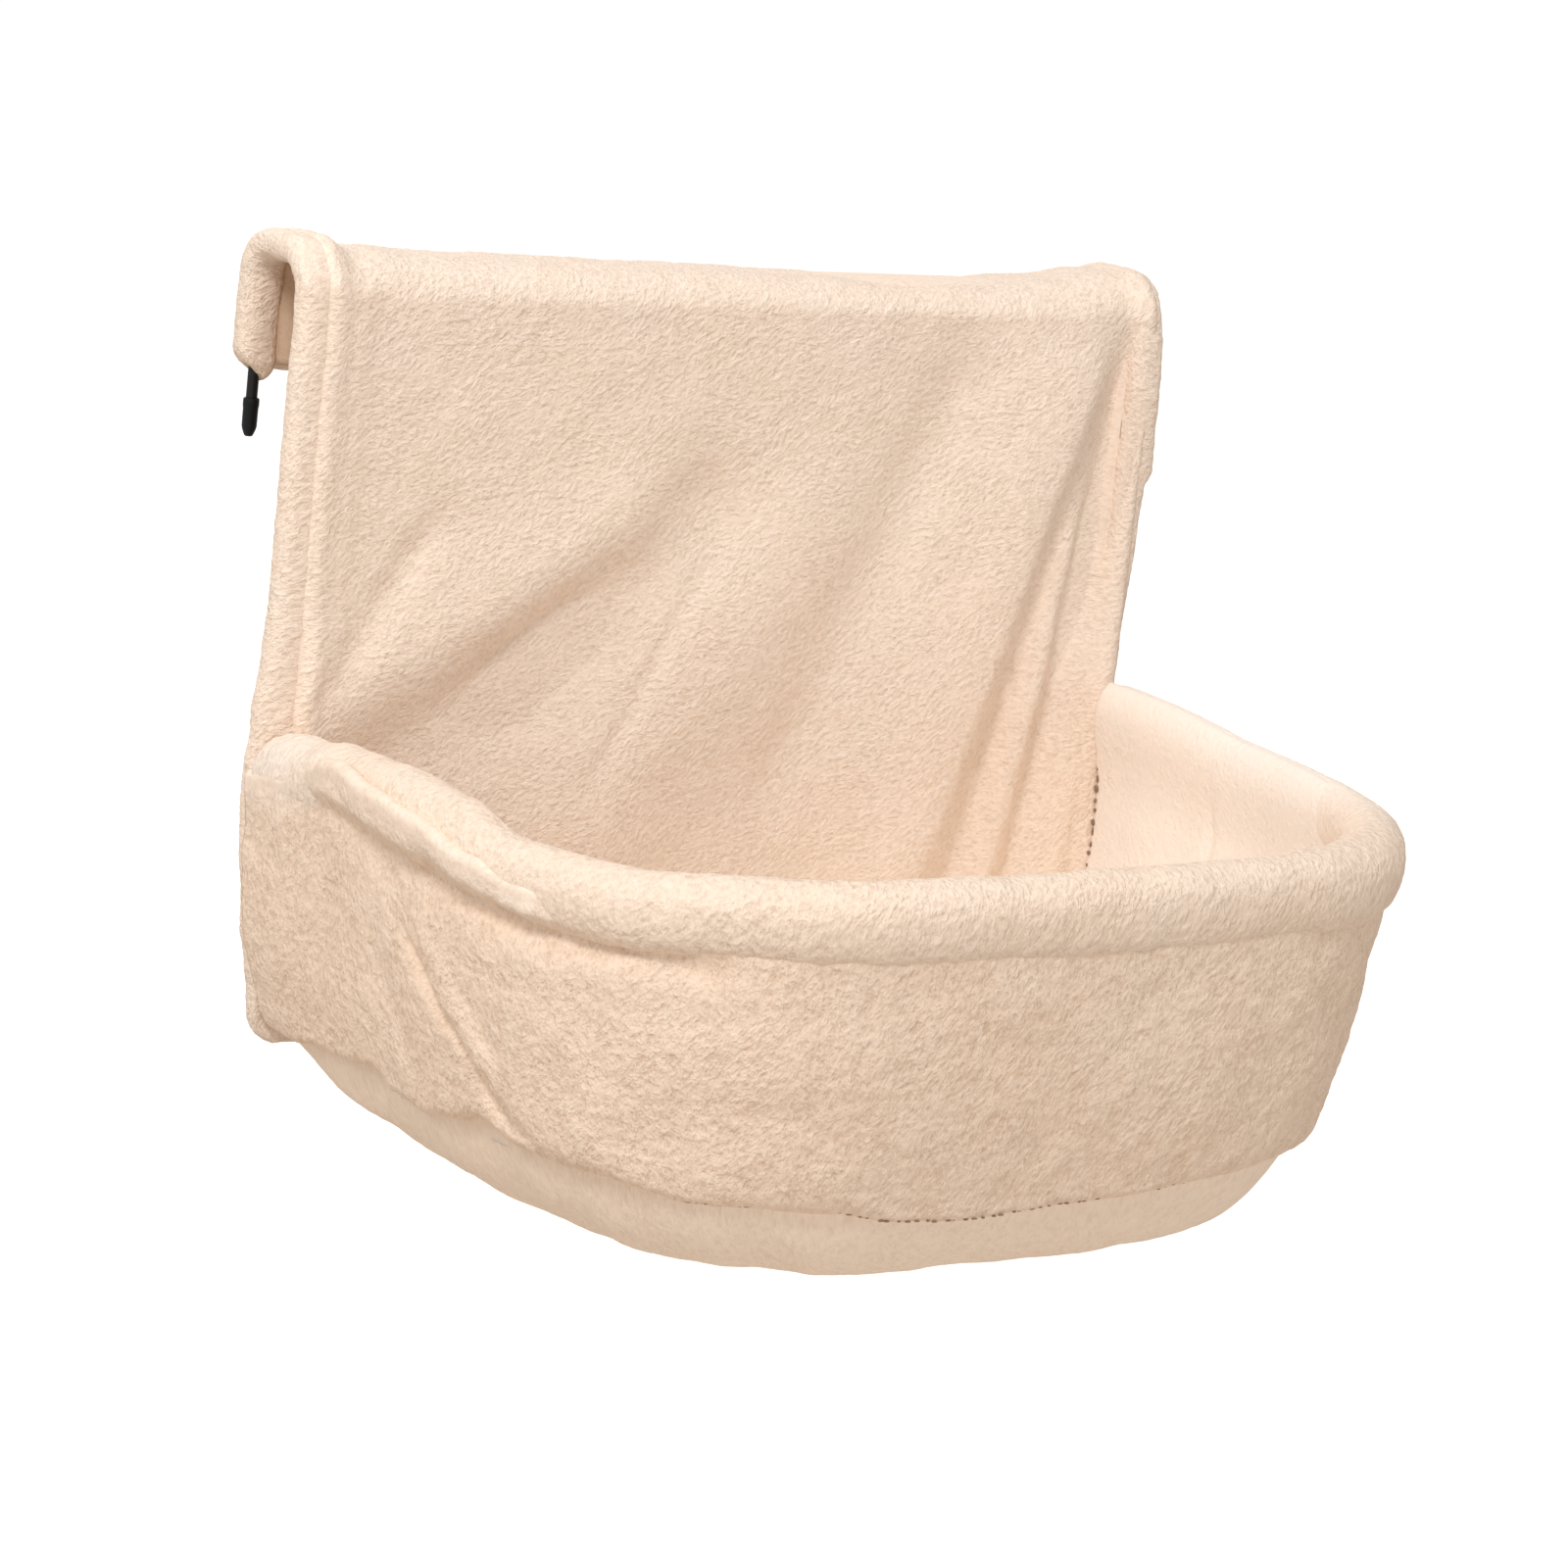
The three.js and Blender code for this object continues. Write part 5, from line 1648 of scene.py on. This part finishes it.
class CATBED_OT_stitches(BedOperator, bpy.types.Operator):
    """Makes the rows of stitches that hold the cover together"""

    bl_idname = "catbed.stitches"
    bl_label = "Stitches"

    def build(self, sizes):
        self.corner_seams(sizes)
        self.hem_seam()

    def corner_seams(self, sizes):
        """Dark stitches where the inside of the wall is sewn to the panel."""
        bm = bmesh.new()
        for side, top in ((-1, RIM_Z - 12 * MM), (1, RIM_Z + 4 * MM)):
            for i, z in enumerate(np.arange(top, HEM_Z + CORNER_STITCH_END, -CORNER_STITCH_PITCH)):
                self.corner_stitch(bm, sizes, side, i, z)
        mesh = mesh_from("corner_stitches", bm)
        piece("corner_stitches", mesh, material("sewing_thread"))

    def corner_stitch(self, bm, sizes, side, i, z):
        """One uneven stitch, where the wall's inner face meets the panel at a level."""
        run = np.array([0.0 if side < 0 else RIM.length])
        z = z + 0.9 * MM * math.sin(3.1 * i)
        down = np.array([(WALL_TOP - z) / (WALL_TOP - HEM_Z)])
        off = wall_offset(down, run)[0] - WALL_THICKNESS - 3.1 * MM
        x = side * (ROD_X + off + (0.9 * down[0] - 0.5) * MM)
        lift = panel_lift(sizes, np.array([x]), np.array([z]), np.zeros(1))[0]
        y = min(ROD_Y - PANEL_OUTER - lift, PANEL_FRONT) - 0.8 * MM
        lean = Matrix.Rotation(0.35 * math.sin(1.7 * i), 4, "Y")
        place = Matrix.Translation((x + 0.4 * MM * math.sin(2.3 * i), y, z)) @ lean
        length = (3.2 + 1.1 * math.sin(1.3 * i)) * MM
        radius = (0.8 + 0.2 * math.sin(2.1 * i)) * MM
        stitched(bm, place, length, radius, "Z")

    def hem_seam(self):
        """A row of stitches round the hem, where the wall is sewn to the base."""
        bm = bmesh.new()
        steps = np.arange(round((RIM.length - 2 * HEM_STITCH_END) / HEM_STITCH_PITCH))
        runs = HEM_STITCH_END + HEM_STITCH_PITCH * (steps + 0.22 * np.sin(2.7 * steps))
        spots, out = RIM.at(runs)
        off = wall_offset(np.ones_like(runs), runs) - (1.3 + 0.3 * np.sin(1.9 * steps)) * MM
        for step, spot, way, lift, inset in zip(steps, spots, out, hem_lift(runs), off):
            x, y = spot + way * inset
            heading = math.atan2(way[0], -way[1])
            turn = Matrix.Rotation(heading, 4, "Z")
            place = Matrix.Translation((x, y, HEM_Z + lift + 0.1 * MM)) @ turn
            stitched(bm, place, (2.6 + 0.8 * math.sin(4.3 * step)) * MM, 0.5 * MM, "X")
        mesh = mesh_from("hem_stitches", bm)
        piece("hem_stitches", mesh, material("sewing_thread"))


def stitched(bm, place, length, radius, axis):
    """One stitch: a small drawn-out bead of thread."""
    scale = (length / 2, radius, radius) if axis == "X" else (radius, radius, length / 2)
    matrix = place @ Matrix.Diagonal((*scale, 1))
    bmesh.ops.create_uvsphere(bm, u_segments=6, v_segments=4, radius=1, matrix=matrix)


class CATBED_OT_stage(BedOperator, bpy.types.Operator):
    """Makes the floor, the soft studio light and the camera"""

    bl_idname = "catbed.stage"
    bl_label = "Stage"

    def build(self, sizes):
        self.camera()
        self.floor()
        for name, place, size, power in LAMPS:
            self.lamp(name, place, size, power)
        self.world()
        bpy.context.scene.view_settings.view_transform = "Standard"

    def camera(self):
        yaw, pitch, roll = (math.radians(a) for a in (CAMERA_YAW, CAMERA_PITCH, CAMERA_ROLL))
        ahead = Vector((
            math.sin(yaw) * math.cos(pitch), math.cos(yaw) * math.cos(pitch), -math.sin(pitch),
        ))
        level = Vector((math.cos(yaw), -math.sin(yaw), 0))
        up = level.cross(ahead)
        right = level * math.cos(roll) + up * math.sin(roll)
        above = up * math.cos(roll) - level * math.sin(roll)
        data = bpy.data.cameras.new("photo_camera")
        data.sensor_width = SENSOR_WIDTH
        data.lens = FOCAL_PIXELS / FRAME_SIZE * SENSOR_WIDTH
        data.shift_x = (FRAME_SIZE / 2 - AXIS_PIXEL[0]) / FRAME_SIZE
        data.shift_y = (AXIS_PIXEL[1] - FRAME_SIZE / 2) / FRAME_SIZE
        data.clip_end = 60
        made = added("photo_camera", data)
        turn = Matrix((right, above, -ahead)).transposed().to_4x4()
        made.matrix_world = Matrix.Translation(CAMERA_PLACE) @ turn
        bpy.context.scene.camera = made

    def floor(self):
        bm = bmesh.new()
        below = Matrix.Translation((0, 0, BASE_LOW - FLOOR_DROP))
        bmesh.ops.create_grid(bm, x_segments=4, y_segments=4, size=FLOOR_HALF, matrix=below)
        mesh = mesh_from("studio_floor", bm)
        floor = added("studio_floor", mesh)
        finish = Finish("studio_white")
        colour = toned(bpy.context.scene.bed_colours.stage, 1)
        finish.set(Base_Color=colour, Roughness=0.9, Specular_IOR_Level=0.0)
        seen = self.seen(finish.start)
        tree = finish.tree
        glow = seen.node("ShaderNodeEmission", {}, {"Color": WHITE, "Strength": FLOOR_GLOW})
        shader = Shade(tree, finish.shader.outputs[0])
        both = seen.node("ShaderNodeAddShader", {}, {0: shader, 1: glow})
        mixed = seen.node("ShaderNodeMixShader", {}, {0: seen, 1: shader, 2: both})
        output = tree.nodes["Material Output"]
        tree.links.new(mixed.socket, output.inputs["Surface"])
        mesh.materials.append(finish.material)

    def seen(self, start):
        """1 for what the camera sees, straight or by a reflection, and 0 for light on its way."""
        camera = start.node("ShaderNodeLightPath", {}, {}, output="Is Camera Ray")
        glossy = start.node("ShaderNodeLightPath", {}, {}, output="Is Glossy Ray")
        through = start.node("ShaderNodeLightPath", {}, {}, output="Is Transmission Ray")
        return camera.math("MAXIMUM", camera, glossy.math("MAXIMUM", glossy, through))

    def lamp(self, name, place, size, power):
        data = bpy.data.lights.new(name, "AREA")
        data.shape = "DISK"
        data.size = size
        data.energy = power
        made = added(name, data)
        aim = Vector(LAMP_AIM) - Vector(place)
        made.matrix_world = Matrix.Translation(place) @ aim.to_track_quat("-Z", "Y").to_matrix().to_4x4()

    def world(self):
        world = bpy.data.worlds.new("studio_world")
        bpy.context.scene.world = world
        world.use_nodes = True
        tree = world.node_tree
        start = Shade(tree)
        seen = self.seen(start)
        strength = seen * (1 - WORLD_LIGHT) + WORLD_LIGHT
        colour = seen.mixed(WARM_LIGHT, WHITE)
        background = tree.nodes["Background"]
        tree.links.new(colour.socket, background.inputs["Color"])
        tree.links.new(strength.socket, background.inputs["Strength"])


class CATBED_PT_panel(bpy.types.Panel):
    """Lists the bed's pieces in the sidebar"""

    bl_idname = "CATBED_PT_panel"
    bl_label = "Radiator cat bed"
    bl_space_type = "VIEW_3D"
    bl_region_type = "UI"
    bl_category = "Cat bed"

    def draw(self, context):
        for group in (context.scene.bed_sizes, context.scene.bed_colours):
            box = self.layout.box()
            for name in group.__annotations__:
                box.prop(group, name)
        for operator in OPERATORS:
            self.layout.operator(operator.bl_idname)


OPERATORS = (
    CATBED_OT_stage, CATBED_OT_frame, CATBED_OT_caps, CATBED_OT_channels, CATBED_OT_panel,
    CATBED_OT_panel_lining, CATBED_OT_rim, CATBED_OT_wall, CATBED_OT_wall_lining,
    CATBED_OT_base, CATBED_OT_floor, CATBED_OT_zip, CATBED_OT_stitches,
)
CLASSES = (BedSizes, BedColours, *OPERATORS, CATBED_PT_panel)


def register():
    for cls in CLASSES:
        bpy.utils.register_class(cls)
    bpy.types.Scene.bed_sizes = PointerProperty(type=BedSizes)
    bpy.types.Scene.bed_colours = PointerProperty(type=BedColours)


def unregister():
    del bpy.types.Scene.bed_colours
    del bpy.types.Scene.bed_sizes
    for cls in reversed(CLASSES):
        bpy.utils.unregister_class(cls)


def main():
    register()
    for operator in OPERATORS:
        group, name = operator.bl_idname.split(".")
        getattr(getattr(bpy.ops, group), name)()


if __name__ == "__main__":
    main()
